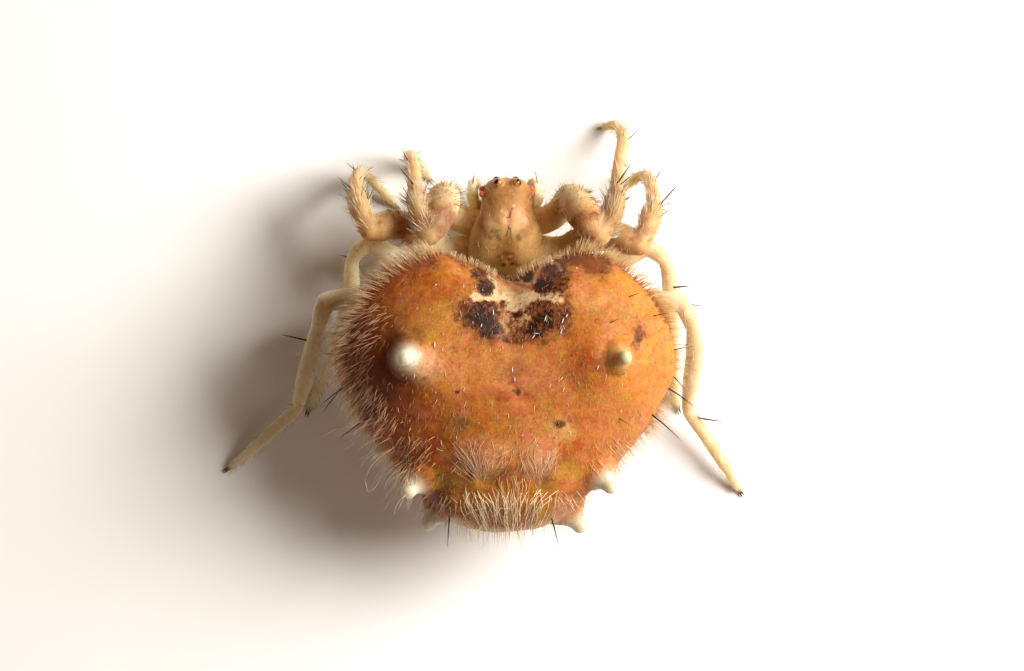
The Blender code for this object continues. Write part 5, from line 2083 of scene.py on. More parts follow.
@dataclass(frozen=True)
class Lock:
    """Hairs laid from a box of roots towards a box of tips, as the camera sees them."""

    count: int
    roots: tuple[float, float, float, float]
    tips: tuple[float, float, float, float]
    gather: float
    radius: float
    root: str
    tip: str
    lift: float = 0.06
    sway: float = 0.1


# Tufts over the hind folds, the fringe below them and loose hairs on the left flank; each box is
# left, right, low and high in seen millimetres.
LOCKS = (
    Lock(
        56, (-0.85, 0.25, -1.46, -0.95), (-0.42, -0.12, -1.72, -1.5), 0.3, 0.0038, "#F4B084", "#FFDAB4",
        0.008, 0.14,
    ),
    Lock(
        46, (0.3, 1.05, -1.5, -1.08), (0.54, 0.76, -1.78, -1.6), 0.3, 0.0038, "#F4B084", "#FFDAB4", 0.008,
        0.14,
    ),
    Lock(26, (-0.1, 0.55, -1.76, -1.55), (0.0, 0.5, -2.0, -1.9), 0.2, 0.0055, "#F8AC68", "#FFD09C", 0.01),
    Lock(
        32, (-0.66, 0.15, -2.02, -1.76), (-0.34, 0.12, -2.56, -2.36), 0.1, 0.0066, "#FFDCA8", "#FFF4D8",
        0.04, 0.17,
    ),
    Lock(
        32, (0.15, 1.0, -2.02, -1.78), (0.14, 0.76, -2.56, -2.36), 0.1, 0.0066, "#FFDCA8", "#FFF4D8",
        0.04, 0.17,
    ),
    Lock(
        26, (-0.5, 0.75, -2.25, -2.0), (-0.32, 0.62, -2.64, -2.45), 0.4, 0.0062, "#FFDCA8", "#FFF6DC",
        0.05, 0.17,
    ),
    Lock(
        40, (-0.75, 0.95, -2.5, -2.3), (-0.8, 1.0, -2.86, -2.6), 0.0, 0.0055, "#F0CC98", "#FFF0D0", 0.0,
        0.15,
    ),
    Lock(
        18, (0.95, 1.3, -2.05, -1.8), (1.0, 1.45, -2.25, -2.0), 0.0, 0.0056, "#F0B890", "#FFE0C0", 0.03,
        0.2,
    ),
    Lock(
        26, (-1.2, -0.62, -2.15, -1.88), (-1.34, -0.72, -2.42, -2.15), 0.0, 0.0066, "#E8A478", "#FFE2C4",
        0.05, 0.2,
    ),
    Lock(
        44, (-1.8, -1.0, -1.45, -0.9), (-1.92, -1.2, -1.62, -1.12), 0.0, 0.0056, "#E09C68", "#FFDAB0",
        0.04, 0.2,
    ),
    Lock(
        22, (-2.4, -1.7, -0.95, -0.3), (-2.6, -1.9, -1.15, -0.5), 0.0, 0.005, "#D89460", "#FFD8AC", 0.04,
        0.2,
    ),
    Lock(
        22, (-1.75, -1.45, -1.6, -1.3), (-2.2, -1.7, -2.2, -1.7), 0.0, 0.005, "#E8C090", "#FFF0D0", 0.0,
        0.2,
    ),
    Lock(16, (-1.85, -1.4, -1.7, -1.3), (-1.9, -1.5, -2.3, -1.9), 0.0, 0.005, "#E8C090", "#FFF0D0", 0.0, 0.2),
    Lock(
        36, (-2.3, -1.7, -1.3, -0.6), (-2.85, -2.0, -1.7, -0.9), 0.0, 0.0046, "#E8C090", "#FFF0D0", 0.0,
        0.2,
    ),
    Lock(34, (1.5, 2.1, -1.5, -0.9), (1.7, 2.3, -1.75, -1.1), 0.0, 0.005, "#F0B080", "#FFE0B8", 0.03, 0.2),
)

# Loose long hairs: root, middle and tip as the camera sees them; the first stands on the skin and
# the others go on at its level or from the end of the hair before.
LOOSE_HAIRS = (
    ((-1.733, -1.117), (-2.08, -1.37), (-2.22, -1.68)),
    ((-2.22, -1.68), (-2.13, -1.85), (-1.88, -1.5)),
    ((-1.533, -1.883), (-1.69, -2.05), (-1.733, -2.267)),
    ((-0.65, -2.367), (-0.47, -2.15), (-0.167, -2.083)),
    ((-0.167, -2.083), (0.03, -2.085), (0.217, -2.1)),
)

# Tiny pale scales, painted near white so that they also stand for glints of light on the skin: middle and run
# as the camera sees them.
SCALES_AND_GLINTS = (
    ((-0.093, 1.09), (0.0, 0.09)),
    ((-0.293, 0.89), (0.015, 0.05)),
    ((0.755, 0.99), (0.03, 0.09)),
    ((0.58, 0.777), (0.1, 0.0)),
    ((1.04, 0.95), (0.03, 0.09)),
    ((1.01, 0.77), (0.04, 0.09)),
    ((1.11, 1.05), (0.02, 0.05)),
    ((1.28, 1.85), (0.015, 0.02)),
    ((-1.05, 1.57), (0.03, 0.02)),
    ((-1.06, 0.55), (0.01, 0.1)),
    ((0.22, 0.16), (0.0, 0.07)),
    ((0.26, 0.0), (0.0, 0.06)),
    ((0.55, 0.7), (0.05, 0.06)),
    ((1.62, 0.2), (0.03, 0.07)),
)


@dataclass(frozen=True)
class Bristle:
    """A kind of single hair: its radius at the root in millimetres, and its colours."""

    radius: float
    root: str
    tip: str

    @property
    def colours(self) -> tuple[Array, Array]:
        """Linear colours of the root and the tip."""
        return linear(self.root), linear(self.tip)


STRONG_BRISTLE = Bristle(0.018, "#1C1612", "#3A2E26")
BROWN_BRISTLE = Bristle(0.011, "#4A2814", "#6A4426")
STRONG_LEG_BRISTLE = Bristle(0.021, "#1E1410", "#5A4638")
FINE_LEG_BRISTLE = Bristle(0.012, "#1E1410", "#5A4638")
PALP_BRISTLE = Bristle(0.011, "#3A3028", "#5A5048")
LOOSE_HAIR = Bristle(0.0068, "#D8B488", "#F4E4C4")
# The scales' near white is partly their own pale colour and partly painted glint.
SCALE_GLINT = Bristle(0.013, "#E2DED4", "#F4F4F0")


def turn_share(root: Array) -> float:
    """Share of the way round the abdomen at which a root stands."""
    return (math.atan2(root[0], root[1]) / math.tau) % 1.0


# The strong dark bristles of the abdomen: root and tip as the camera sees them, in millimetres.
ABDOMEN_BRISTLES = (
    ((-2.45, -0.04), (-2.98, -0.36)),
    ((-2.62, -0.15), (-2.95, -0.5)),
    ((-2.15, -0.62), (-2.65, -0.9)),
    ((2.85, -0.15), (3.27, -0.4)),
    ((2.55, -0.57), (3.05, -0.95)),
    ((2.0, -0.63), (2.2, -0.74)),
    ((2.92, 0.05), (3.14, -0.17)),
    ((2.95, 0.52), (3.26, 0.6)),
    ((2.57, 1.07), (2.87, 1.15)),
    ((1.83, 0.95), (2.0, 1.05)),
    ((2.15, 1.38), (2.36, 1.48)),
    ((-0.82, -2.25), (-0.86, -2.73)),
    ((0.88, -2.3), (1.0, -2.73)),
    ((-0.98, -1.55), (-1.08, -1.77)),
    ((-2.83, 0.44), (-3.09, 0.475)),
    ((1.69, 1.78), (1.8, 1.9)),
)


@dataclass
class AbdomenCoat:
    """All the hairs of the abdomen."""

    abdomen: Abdomen
    skin_tree: BVHTree
    seed: int = 5
    ground: str = "#C87430"
    sight_height: float = 5.0
    sight_reach: float = 4.0
    strong_length: float = 0.4
    # A bristle rises by this share of its seen run, so it is longer than it looks by the stretch.
    rise: float = 0.35
    stretch: float = 1.08

    def build(self) -> list[bpy.types.Object]:
        """Make the pale and brown coat and the dark bristles."""
        rng = np.random.default_rng(self.seed)
        coat = Coat("abdomen_coat")
        for crop in ABDOMEN_CROPS:
            self.sow(coat, crop, rng)
        for lock in LOCKS:
            self.lay_lock(coat, lock, rng)
        self.lay_loose_hairs(coat)
        self.lay_scales(coat)
        bristles = Coat("abdomen_bristles", sink=0.06)
        self.plant_bristles(bristles)
        material = HAIR_HORN.build()
        return [coat.build("abdomen_skin", material), bristles.build("abdomen_skin", material)]

    def sow(self, coat: Coat, crop: Crop, rng: np.random.Generator) -> None:
        """Scatter one crop over its stretch on both sides.

        Args:
            coat: Coat that takes the hairs.
            crop: What they are like.
            rng: Seeded source of chance.
        """
        side = np.where(rng.uniform(size=crop.count) < crop.left_share, -1.0, 1.0)
        turn = np.radians(rng.uniform(*crop.turns, crop.count)) * side
        drop = rng.uniform(*crop.drops, crop.count)
        roots = self.abdomen.surface(turn, drop)
        normals = self.abdomen.normals(turn, drop)
        roots = self.on_skin(roots, normals)
        back = np.array([0.0, -1.0, 0.0])
        outward = np.column_stack([np.sin(turn), np.cos(turn), np.zeros(crop.count)])
        directions = normals * crop.rise + back * crop.back + outward * crop.out
        directions += rng.normal(0.0, crop.wave, (crop.count, 3)) * 0.5
        flat = directions - normals * np.sum(directions * normals, axis=1, keepdims=True)
        bends = unit(flat + back * 0.2) * crop.curl * rng.uniform(0.3, 1.2, (crop.count, 1))
        bends += rng.normal(0.0, crop.wave * 0.4, (crop.count, 3))
        bends[:, 2] -= 0.1 * crop.curl
        lengths = rng.uniform(*crop.length, crop.count)
        radii = crop.radius * rng.uniform(0.75, 1.2, crop.count)
        ground = self.ground_colours(roots)
        tone = rng.uniform(0.8, 1.15, (crop.count, 1))
        root_colours = linear(crop.root) * tone * 0.75 + ground * 0.25
        tip_colours = np.tile(linear(crop.tip), (crop.count, 1)) * tone
        places = np.column_stack([(turn / math.tau) % 1.0, drop])
        coat.add(roots, directions, bends, lengths, radii, root_colours, tip_colours, places)

    def lay_lock(self, coat: Coat, lock: Lock, rng: np.random.Generator) -> None:
        """Lay one lock of hairs over the skin.

        Args:
            coat: Coat that takes the hairs.
            lock: Where they start and end.
            rng: Seeded source of chance.
        """
        left, right, low, high = lock.roots
        far_left, far_right, far_low, far_high = lock.tips
        made = 0
        tries = 0
        while made < lock.count and tries < lock.count * 4:
            tries += 1
            across, along = rng.uniform(), rng.uniform()
            start = np.array([left + (right - left) * across, low + (high - low) * along])
            across += (0.5 - across) * lock.gather * rng.uniform(0.0, 1.0) + rng.normal(0.0, 0.06)
            end = np.array(
                [far_left + (far_right - far_left) * across, far_low + (far_high - far_low) * along]
            )
            root = self.find_root(start)
            if root is None:
                continue
            shift = rng.normal(0.0, lock.sway) * float(np.hypot(*(end - start)))
            lift = lock.lift * rng.uniform(0.5, 1.5)
            middle = self.above((start + end) / 2.0 + np.array([shift, 0.0]), lift, root[2] - 0.03)
            tip = self.above(end, 0.4 * lift, root[2] - 0.15)
            tone = rng.uniform(1.0, 1.25)
            radius = lock.radius * rng.uniform(0.75, 1.15)
            colours = (linear(lock.root) * tone, linear(lock.tip) * tone)
            self.lay_strand(coat, (root, middle, tip), radius, colours)
            made += 1

    def above(self, seen: Array, lift: float, level: float) -> Array:
        """Find the place at a lift over the skin under a seen point, or at a level beside the skin."""
        hit = self.find_root(seen)
        if hit is None:
            return np.array([seen[0] - LEAN_SHIFT * level, seen[1], level])
        return hit + np.array([0.0, -0.3, 0.95]) * (lift + 0.012)

    def lay_strand(self, coat: Coat, places: tuple, radius: float, colours: tuple) -> None:
        """Lay one hair through three places.

        Args:
            coat: Coat that takes the hair.
            places: Its root, middle and tip.
            radius: Its radius at the root in millimetres.
            colours: Linear colours of its root and tip.
        """
        root, middle, tip = places
        start = 4.0 * (middle - root) - (tip - root)
        length = float(np.linalg.norm(start))
        place = (turn_share(root), 0.35 - 0.04 * root[1])
        coat.add_one(root, start, (tip - root - start) / length, length, radius, colours, place)

    def lay_loose_hairs(self, coat: Coat) -> None:
        """Lay the few long loose hairs at the hind end."""
        last = np.zeros(3)
        for path in LOOSE_HAIRS:
            root = self.find_root(np.array(path[0]))
            if root is None:
                root = last
            middle, tip = (self.above(np.array(seen), 0.08, root[2]) for seen in path[1:])
            self.lay_strand(coat, (root, middle, tip), LOOSE_HAIR.radius, LOOSE_HAIR.colours)
            last = tip

    def lay_scales(self, coat: Coat) -> None:
        """Lay the tiny pale scales on the skin; their near-white colour is partly painted glint."""
        for middle, run in SCALES_AND_GLINTS:
            root = self.find_root(np.array(middle))
            if root is None:
                continue
            length = math.hypot(*run)
            direction = np.array([run[0], run[1], 0.25 * length])
            bend = np.array([0.0, 0.0, -0.1])
            place = (turn_share(root), 0.2)
            coat.add_one(root, direction, bend, length, SCALE_GLINT.radius, SCALE_GLINT.colours, place)

    def ground_colours(self, roots: Array) -> Array:
        """Colour of the skin's marks at the roots."""
        seen = seen_from_camera(roots)
        colours = np.tile([*linear(self.ground), 0.0], (len(roots), 1))
        return lay_marks(colours, ABDOMEN_MARKS, seen, roots, eased(roots[:, 2], 1.5, 2.0))[:, :3]

    def on_skin(self, roots: Array, normals: Array) -> Array:
        """Move roots onto the finished skin."""
        settled = roots.copy()
        for index, (root, normal) in enumerate(zip(roots, normals)):
            hit = self.skin_tree.ray_cast(Vector(root + normal * 0.2), Vector(-normal), 0.5)[0]
            if hit is not None:
                settled[index] = hit
        return settled

    def plant_bristles(self, coat: Coat) -> None:
        """Plant each dark bristle where the line of sight through its root meets the skin."""
        rim = np.linspace(0.02, 1.0, 90)
        for root_seen, tip_seen in ABDOMEN_BRISTLES:
            root = self.find_root(np.array(root_seen))
            if root is None:
                turn = math.atan2(root_seen[0] - 0.11, root_seen[1])
                choices = self.abdomen.surface(np.full(len(rim), turn), 0.2 + 0.4 * rim)
                offsets = seen_from_camera(choices) - np.array(root_seen)
                root = choices[np.argmin(np.linalg.norm(offsets, axis=1))]
            run = np.array(tip_seen) - np.array(root_seen)
            length = float(np.hypot(*run)) * self.stretch
            direction = np.array([run[0], run[1], self.rise * np.hypot(*run)])
            bend = np.array([0.0, -0.12, -0.2])
            kind = STRONG_BRISTLE if length > self.strong_length else BROWN_BRISTLE
            place = (turn_share(root), 0.45)
            coat.add_one(root, direction, bend, length, kind.radius, kind.colours, place)

    def find_root(self, seen: Array) -> Array | None:
        """Find where a line of sight meets the skin, if it does."""
        sight = unit(np.array([-LEAN_SHIFT, 0.0, 1.0]))
        height = self.sight_height
        start = np.array([seen[0] - LEAN_SHIFT * height, seen[1], height])
        hit = self.skin_tree.ray_cast(Vector(start), Vector(-sight), self.sight_reach)[0]
        return None if hit is None else np.array(hit)


@dataclass(frozen=True)
class LegCrop:
    """One kind of hair on a length of a leg; turns in degrees from its upper side."""

    part: str
    legs: str
    count: int
    shares: tuple[float, float]
    turns: tuple[float, float]
    length: tuple[float, float]
    radius: float
    root: str
    tip: str
    rise: float
    curl: float = 0.25


LEG_CROPS = (
    LegCrop(
        "femur", "12", 130, (0.5, 0.85), (-50.0, 75.0), (0.12, 0.2), 0.005, "#8A4A26", "#C08A58", 1.0,
        0.2,
    ),
    LegCrop(
        "femur", "12", 130, (0.2, 0.98), (-180.0, 180.0), (0.08, 0.16), 0.0045, "#D2AC78", "#F2DEB8", 0.8,
    ),
    LegCrop("tibia", "12", 210, (0.05, 0.98), (-180.0, 180.0), (0.1, 0.2), 0.0045, "#D8B88C", "#FBF2DC", 0.7),
    LegCrop("tibia", "12", 14, (0.5, 0.95), (-80.0, 80.0), (0.14, 0.22), 0.007, "#5A4030", "#8A6A50", 0.8),
    LegCrop(
        "foot", "12", 230, (0.02, 0.97), (-180.0, 180.0), (0.09, 0.19), 0.0045, "#DCC49A", "#FBF4E0",
        0.65,
    ),
    LegCrop("foot", "12", 8, (0.05, 0.6), (-90.0, 90.0), (0.14, 0.2), 0.0065, "#5A4838", "#8A7662", 0.8),
    LegCrop(
        "femur", "34", 70, (0.25, 0.98), (-180.0, 180.0), (0.08, 0.16), 0.0042, "#DCC8A0", "#F8F0DC",
        0.75,
    ),
    LegCrop(
        "tibia", "34", 130, (0.04, 0.98), (-180.0, 180.0), (0.09, 0.18), 0.0042, "#DCC8A0", "#F8F0DC",
        0.7,
    ),
    LegCrop("foot", "34", 170, (0.02, 0.97), (-180.0, 180.0), (0.07, 0.14), 0.004, "#CDB488", "#F2E8D0", 0.6),
)

# The strong dark bristles of the legs: leg, length, and root and tip as the camera sees them.
LEG_BRISTLES = (
    ("right_1", "tibia", (1.99, 3.307), (2.23, 3.653)),
    ("right_1", "tibia", (2.043, 3.28), (2.27, 3.467)),
    ("right_1", "tibia", (2.123, 3.0), (2.283, 3.107)),
    ("right_1", "foot", (2.177, 4.053), (2.39, 4.267)),
    ("right_2", "tibia", (2.75, 2.96), (3.057, 3.307)),
    ("right_2", "tibia", (2.817, 2.893), (3.043, 3.0)),
    ("right_2", "tibia", (2.857, 2.76), (3.003, 2.84)),
    ("right_2", "foot", (2.63, 3.373), (2.75, 3.547)),
    ("left_1", "tibia", (-1.422, 3.242), (-1.7, 3.592)),
    ("left_1", "tibia", (-1.545, 3.195), (-1.603, 3.393)),
    ("left_1", "tibia", (-1.51, 3.043), (-1.617, 3.242)),
    ("left_1", "tibia", (-1.557, 2.945), (-1.733, 3.055)),
    ("left_1", "foot", (-1.533, 3.65), (-1.662, 3.942)),
    ("left_2", "tibia", (-2.513, 3.23), (-2.728, 3.417)),
    ("left_2", "tibia", (-2.542, 3.183), (-2.677, 3.347)),
    ("left_2", "tibia", (-2.583, 3.102), (-2.677, 3.207)),
    ("left_2", "foot", (-2.408, 3.5), (-2.595, 3.673)),
    ("right_3", "tibia", (2.95, 1.56), (3.283, 1.587)),
    ("left_3", "tibia", (-2.607, 2.075), (-2.747, 2.117)),
    ("right_4", "tibia", (3.25, 1.262), (3.458, 1.238)),
    ("right_4", "tibia", (3.133, 0.577), (3.405, 0.617)),
    ("right_4", "foot", (3.382, -0.653), (3.83, -0.723)),
    ("left_4", "tibia", (-3.287, 0.67), (-3.717, 0.772)),
    ("left_4", "foot", (-3.333, -0.45), (-3.6, -0.412)),
)


@dataclass
class LegCoat:
    """The short hairs and the bristles of all legs."""

    legs: list[Leg]
    seed: int = 9
    strong_length: float = 0.35
    rise: float = 0.3
    stretch: float = 1.05

    def build(self) -> list[bpy.types.Object]:
        """Make the forelegs' coat, the hind legs' coat and the bristles."""
        rng = np.random.default_rng(self.seed)
        material = HAIR_HORN.build()
        made = []
        for name, numbers in (("foreleg_coat", "12"), ("hind_leg_coat", "34")):
            coat = Coat(name)
            for crop in LEG_CROPS:
                if crop.legs != numbers:
                    continue
                for leg in self.legs:
                    if leg.number in numbers:
                        self.sow(coat, crop, leg, rng)
            made.append(coat.build("leg", material))
        bristles = Coat("leg_bristles", sink=0.05)
        for label, part, root_seen, tip_seen in LEG_BRISTLES:
            leg = next(leg for leg in self.legs if leg.label == label)
            self.plant(bristles, leg, part, np.array(root_seen), np.array(tip_seen))
        made.append(bristles.build("leg", material))
        return made

    def plant(self, coat: Coat, leg: Leg, part: str, root_seen: Array, tip_seen: Array) -> None:
        """Plant one bristle on the side of a leg that the camera sees.

        Args:
            coat: Coat that takes the bristle.
            leg: The leg.
            part: Which length of it.
            root_seen: Where the camera sees the root.
            tip_seen: Where the camera sees the tip.
        """
        tube = leg.lengths[part]
        middles = seen_from_camera(tube.line)
        index = int(np.argmin(np.linalg.norm(middles - root_seen, axis=1)))
        share = index / (len(tube.line) - 1)
        reach = float(tube.radius(share))
        offset = root_seen - middles[index]
        offset = offset * min(1.0, 0.92 * reach / max(float(np.hypot(*offset)), 1e-6))
        lift = math.sqrt(max(reach * reach - float(offset @ offset), 0.0))
        root = tube.line[index] + np.array([offset[0] - LEAN_SHIFT * lift, offset[1], lift])
        run = tip_seen - root_seen
        length = float(np.hypot(*run)) * self.stretch
        direction = np.array([run[0], run[1], self.rise * np.hypot(*run)])
        kind = STRONG_LEG_BRISTLE if length > self.strong_length else FINE_LEG_BRISTLE
        place = tuple(self.places(leg, part, np.array([share]), np.array([0.3]))[0])
        bend = np.array([0.0, 0.0, -0.12])
        coat.add_one(root, direction, bend, length, kind.radius, kind.colours, place)

    def places(self, leg: Leg, part: str, shares: Array, turns: Array) -> Array:
        """Places on the unwrapped legs: one tile for each length of each leg."""
        column = [other.label for other in self.legs].index(leg.label)
        row = list(leg.lengths).index(part)
        across = (column + 0.06 + 0.88 * ((turns / math.tau) % 1.0)) / len(self.legs)
        along = (row + 0.06 + 0.88 * shares) / 3.0
        return np.column_stack([across, along])

    def sow(self, coat: Coat, crop: LegCrop, leg: Leg, rng: np.random.Generator) -> None:
        """Scatter one crop over a length of one leg.

        Args:
            coat: Coat that takes the hairs.
            crop: What they are like.
            leg: The leg.
            rng: Seeded source of chance.
        """
        tube = leg.lengths[crop.part]
        shares = rng.uniform(*crop.shares, crop.count)
        turns = np.radians(rng.uniform(*crop.turns, crop.count))
        roots, outward, along = tube.surface(shares, turns)
        directions = outward * crop.rise + along * 0.8 + rng.normal(0.0, 0.12, roots.shape)
        bends = along * crop.curl * rng.uniform(0.3, 1.2, (crop.count, 1))
        bends += rng.normal(0.0, 0.05, roots.shape)
        tone = rng.uniform(0.8, 1.15, (crop.count, 1))
        coat.add(
            roots,
            directions,
            bends,
            rng.uniform(*crop.length, crop.count),
            crop.radius * rng.uniform(0.75, 1.2, crop.count),
            np.tile(linear(crop.root), (crop.count, 1)) * tone,
            np.tile(linear(crop.tip), (crop.count, 1)) * tone,
            self.places(leg, crop.part, shares, turns),
        )


@dataclass
class HeadCoat:
    """Fine hairs on the carapace, chelicerae and palps."""

    prosoma: Prosoma
    skin_tree: BVHTree
    seed: int = 13
    carapace_hairs: int = 280
    palp_hairs: int = 80
    radius: float = 0.004
    bristle_length: float = 0.32

    def build(self) -> bpy.types.Object:
        """Make the head's coat."""
        rng = np.random.default_rng(self.seed)
        coat = Coat("head_coat")
        self.sow_carapace(coat, rng)
        for side in Side:
            self.sow_palp(coat, side, rng)
        return coat.build("carapace", HAIR_HORN.build())

    def sow_carapace(self, coat: Coat, rng: np.random.Generator) -> None:
        """Scatter fine hairs over the head and thorax, all lying forward."""
        along = rng.uniform(1.75, 3.4, self.carapace_hairs)
        turn = rng.uniform(0.0, math.tau, self.carapace_hairs)
        middle = np.column_stack([np.full_like(along, PROSOMA_MIDDLE), along, np.full_like(along, 1.3)])
        outward = np.column_stack([np.cos(turn), np.zeros_like(along), np.sin(turn)])
        hits = [
            self.skin_tree.ray_cast(Vector(start), Vector(way), 1.2) for start, way in zip(middle, outward)
        ]
        kept = [index for index, hit in enumerate(hits) if hit[0] is not None]
        roots = np.array([hits[index][0] for index in kept])
        normals = np.array([hits[index][1] for index in kept])
        count = len(kept)
        directions = normals * 0.7 + np.array([0.0, 0.7, 0.1]) + rng.normal(0.0, 0.15, (count, 3))
        tone = rng.uniform(0.8, 1.1, (count, 1))
        places = np.column_stack([turn[kept] / math.tau * 0.5, (along[kept] - 1.7) / 1.8])
        coat.add(
            roots,
            directions,
            np.tile([0.0, 0.15, 0.0], (count, 1)) + rng.normal(0.0, 0.06, (count, 3)),
            rng.uniform(0.06, 0.13, count),
            np.full(count, self.radius),
            linear("#B98850") * tone,
            linear("#DDBB84") * tone,
            places,
        )

    def sow_palp(self, coat: Coat, side: Side, rng: np.random.Generator) -> None:
        """Scatter fine hairs along one palp and plant its long bristle."""
        count = self.palp_hairs
        tube = self.prosoma.palp(side)
        shares = rng.uniform(0.2, 0.97, count)
        turns = rng.uniform(-math.pi, math.pi, count)
        roots, outward, forward = tube.surface(shares, turns)
        column = 0.55 if side is Side.LEFT else 0.78
        places = np.column_stack([column + 0.2 * ((turns / math.tau) % 1.0), shares * 0.9 + 0.05])
        coat.add(
            roots,
            outward * 0.7 + forward * 0.8,
            forward * 0.2 + rng.normal(0.0, 0.05, roots.shape),
            rng.uniform(0.05, 0.11, count),
            np.full(count, self.radius),
            np.tile(linear("#C8A46C"), (count, 1)),
            np.tile(linear("#EFE0BC"), (count, 1)),
            places,
        )
        root, outward, forward = (rows[0] for rows in tube.surface(np.array([0.62]), np.array([0.2])))
        kind = PALP_BRISTLE
        coat.add_one(
            root,
            outward * 0.3 + forward,
            forward * 0.05,
            self.bristle_length,
            kind.radius,
            kind.colours,
            (column + 0.1, 0.55),
        )


# Eyes and claws


@dataclass
class Eyes:
    """Eight glossy domes: the four in the middle dark on amber, the side pairs reddish."""

    prosoma: Prosoma
    sides: int = 32
    # The lenses of the middle eyes look this much outwards and forwards; a lens ends where its
    # surface turns from the gaze by more than the limit, given as a cosine.
    outward: float = 0.75
    forward: float = 0.25
    lens_limits: dict = field(
        default_factory=lambda: {"anterior_median": -1.0, "posterior_median": 0.72, "lateral": 0.9}
    )

    def build(self) -> list[bpy.types.Object]:
        """Make each eye as a ball with a dark lens set in an amber or red base."""
        lens = EYE_LENS.build()
        amber = EYE_AMBER.build()
        red = EYE_RED.build()
        made = []
        for name, (middle, direction, radius) in self.prosoma.eye_seats().items():
            eye = ball(name + "_lens", middle, radius, self.sides)
            median = "median" in name
            eye.data.materials.append(amber if median else red)
            eye.data.materials.append(lens)
            gaze = unit(direction)
            if median:
                outer = np.array([math.copysign(self.outward, direction[0]), self.forward, 0.0])
                gaze = unit(direction + outer)
            limit = next(limit for part, limit in self.lens_limits.items() if part in name)
            for face in eye.data.polygons:
                facing = unit(np.array(face.center) - middle) @ gaze
                face.material_index = 1 if facing > limit else 0
            eye.data.shade_smooth()
            BODY.settle(eye)
            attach(eye, "root")
            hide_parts(name)
            made.append(eye)
        return made


@dataclass
class Claws:
    """A pair of small hooked claws on every foot, in one piece."""

    legs: list[Leg]
    reach: float = 0.09
    girth: float = 0.016
    spread: float = 0.02
    arch: float = 0.012
    droop: float = 0.018
    lowest: float = 0.001
    fore_colour: str = "#A88458"
    hind_colour: str = "#3A2415"

    def build(self) -> bpy.types.Object:
        """Make the claws."""
        shells = []
        for leg in self.legs:
            foot = leg.lengths["foot"]
            tip = foot.line[-1]
            along = foot.tangents[-1]
            flat = unit(np.array([along[0], along[1], 0.0]))
            lateral = np.array([flat[1], -flat[0], 0.0])
            for sign in (-1.0, 1.0):
                start = tip + lateral * sign * self.spread + np.array([0.0, 0.0, self.spread])
                middle = start + flat * self.reach * 0.6 + np.array([0.0, 0.0, self.arch])
                end = start + flat * self.reach - np.array([0.0, 0.0, self.droop])
                stations = ((0.0, self.girth), (1.0, self.girth * 0.25))
                shells.append(Tube(np.array([start, middle, end]), stations, 5, 10).shell("claw"))
        made = join("claws", shells)
        points = mesh_points(made)
        points[:, 2] = np.maximum(points[:, 2], self.lowest)
        set_points(made, points)
        tones = [self.fore_colour if leg.number in "12" else self.hind_colour for leg in self.legs]
        each_foot = len(points) // len(self.legs)
        paint(made, np.repeat(np.array([linear(tone) for tone in tones]), each_foot, axis=0))
        made.data.materials.append(CLAW_HORN.build())
        made.data.shade_smooth()
        BODY.settle(made)
        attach(made, "root")
        return made


# Studio


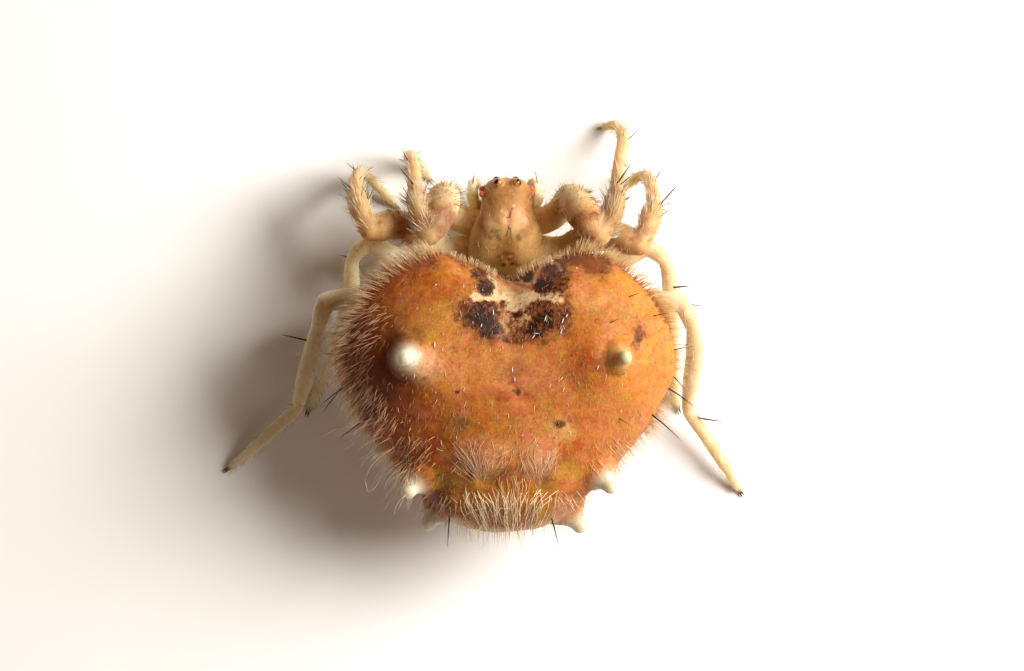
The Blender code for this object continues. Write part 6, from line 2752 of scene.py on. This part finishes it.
@dataclass
class Studio:
    """White floor, soft light from the right and the camera above."""

    pixels_per_mm: float = 60.0
    photo_width: float = 1024.0
    aim: tuple = (0.102, 0.742, 2.2)
    lens_mm: float = 200.0
    sensor_mm: float = 36.0
    floor_mm: float = 400.0
    sky_colour: str = "#FFD9B8"
    sky_strength: float = 0.14
    nearest_m: float = 0.001
    farthest_m: float = 10.0

    def build(self) -> None:
        """Make the floor, lamps, world and camera."""
        scene = bpy.context.scene
        scene.view_settings.view_transform = "Standard"
        self.floor()
        self.world(scene)
        self.lamp("key light", (39.2, 14.5, 36.0), 34.0, 2.25, "#FFFBF6")
        self.lamp("fill light", (14.0, -42.0, 48.0), 50.0, 0.1, "#FFF6EE")
        self.camera(scene)

    def floor(self) -> None:
        """Lay the card."""
        half = self.floor_mm / 2.0
        corners = np.array([[-half, -half, 0], [half, -half, 0], [half, half, 0], [-half, half, 0]])
        card = new_object("floor", corners * MM, [[0, 1, 2, 3]])
        card.data.materials.append(Card().build())
        card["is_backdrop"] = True

    def world(self, scene: bpy.types.Scene) -> None:
        """Light everything a little from all round."""
        world = bpy.data.worlds.new("studio")
        world.use_nodes = True
        sky = world.node_tree.nodes["Background"]
        sky.inputs["Color"].default_value = (*linear(self.sky_colour), 1.0)
        sky.inputs["Strength"].default_value = self.sky_strength
        scene.world = world

    def lamp(
        self, name: str, place: tuple[float, float, float], size: float, strength: float, tint: str
    ) -> None:
        """Hang one soft square lamp.

        Args:
            name: Name of the lamp.
            place: Its place in body millimetres.
            size: Width in millimetres.
            strength: Light it throws on the spider, 1 being as much as white card in full light.
            tint: Its colour.
        """
        data = bpy.data.lights.new(name, "AREA")
        data.size = size * MM
        distance = float(np.linalg.norm(place)) * MM
        data.energy = strength * math.pi * math.pi * distance * distance
        data.color = tuple(linear(tint))
        lamp = bpy.data.objects.new(name, data)
        lamp.location = Vector(np.array(place) * MM + BODY.corner)
        lamp.rotation_euler = (-Vector(place)).to_track_quat("-Z", "Y").to_euler()
        bpy.context.scene.collection.objects.link(lamp)

    def camera(self, scene: bpy.types.Scene) -> None:
        """Set the camera above, leaning a little to the left, at the photograph's scale."""
        data = bpy.data.cameras.new("camera")
        data.lens = self.lens_mm
        data.sensor_width = self.sensor_mm
        width = self.photo_width / self.pixels_per_mm
        distance = width * self.lens_mm / self.sensor_mm
        lean = math.radians(VIEW_LEAN)
        back = np.array([-math.sin(lean), 0.0, math.cos(lean)])
        camera = bpy.data.objects.new("camera", data)
        camera.location = Vector((np.array(self.aim) + back * distance) * MM + BODY.corner)
        camera.rotation_euler = (0.0, -lean, 0.0)
        data.clip_start = self.nearest_m
        data.clip_end = self.farthest_m
        scene.collection.objects.link(camera)
        scene.camera = camera


def write_sizes(cad_box: tuple) -> None:
    """Put the solids' box and the dressed model's box side by side.

    Args:
        cad_box: Lowest and highest corner of the solids, in metres.
    """
    boxes = {"cad": cad_box, "visual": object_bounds()}
    plain = {name: [list(corner) for corner in box] for name, box in boxes.items()}


def main() -> None:
    """Build every part of the spider in order and report it."""
    logging.basicConfig(level=logging.INFO, format="%(message)s")
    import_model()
    cad_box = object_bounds()
    BODY.find()
    Studio().build()
    legs = [Leg(label) for label in LEG_PATHS]
    abdomen = Abdomen()
    prosoma = Prosoma()
    skin_maker = Skin(abdomen, prosoma, legs)
    skin = skin_maker.build()
    LOG.info("skin: %d faces", len(skin.data.polygons))
    Eyes(prosoma).build()
    Claws(legs).build()
    AbdomenCoat(abdomen, skin_maker.trees[Region.ABDOMEN]).build()
    LegCoat(legs).build()
    HeadCoat(prosoma, skin_maker.trees[Region.PROSOMA]).build()
    write_sizes(cad_box)


if __name__ == "__main__":
    main()
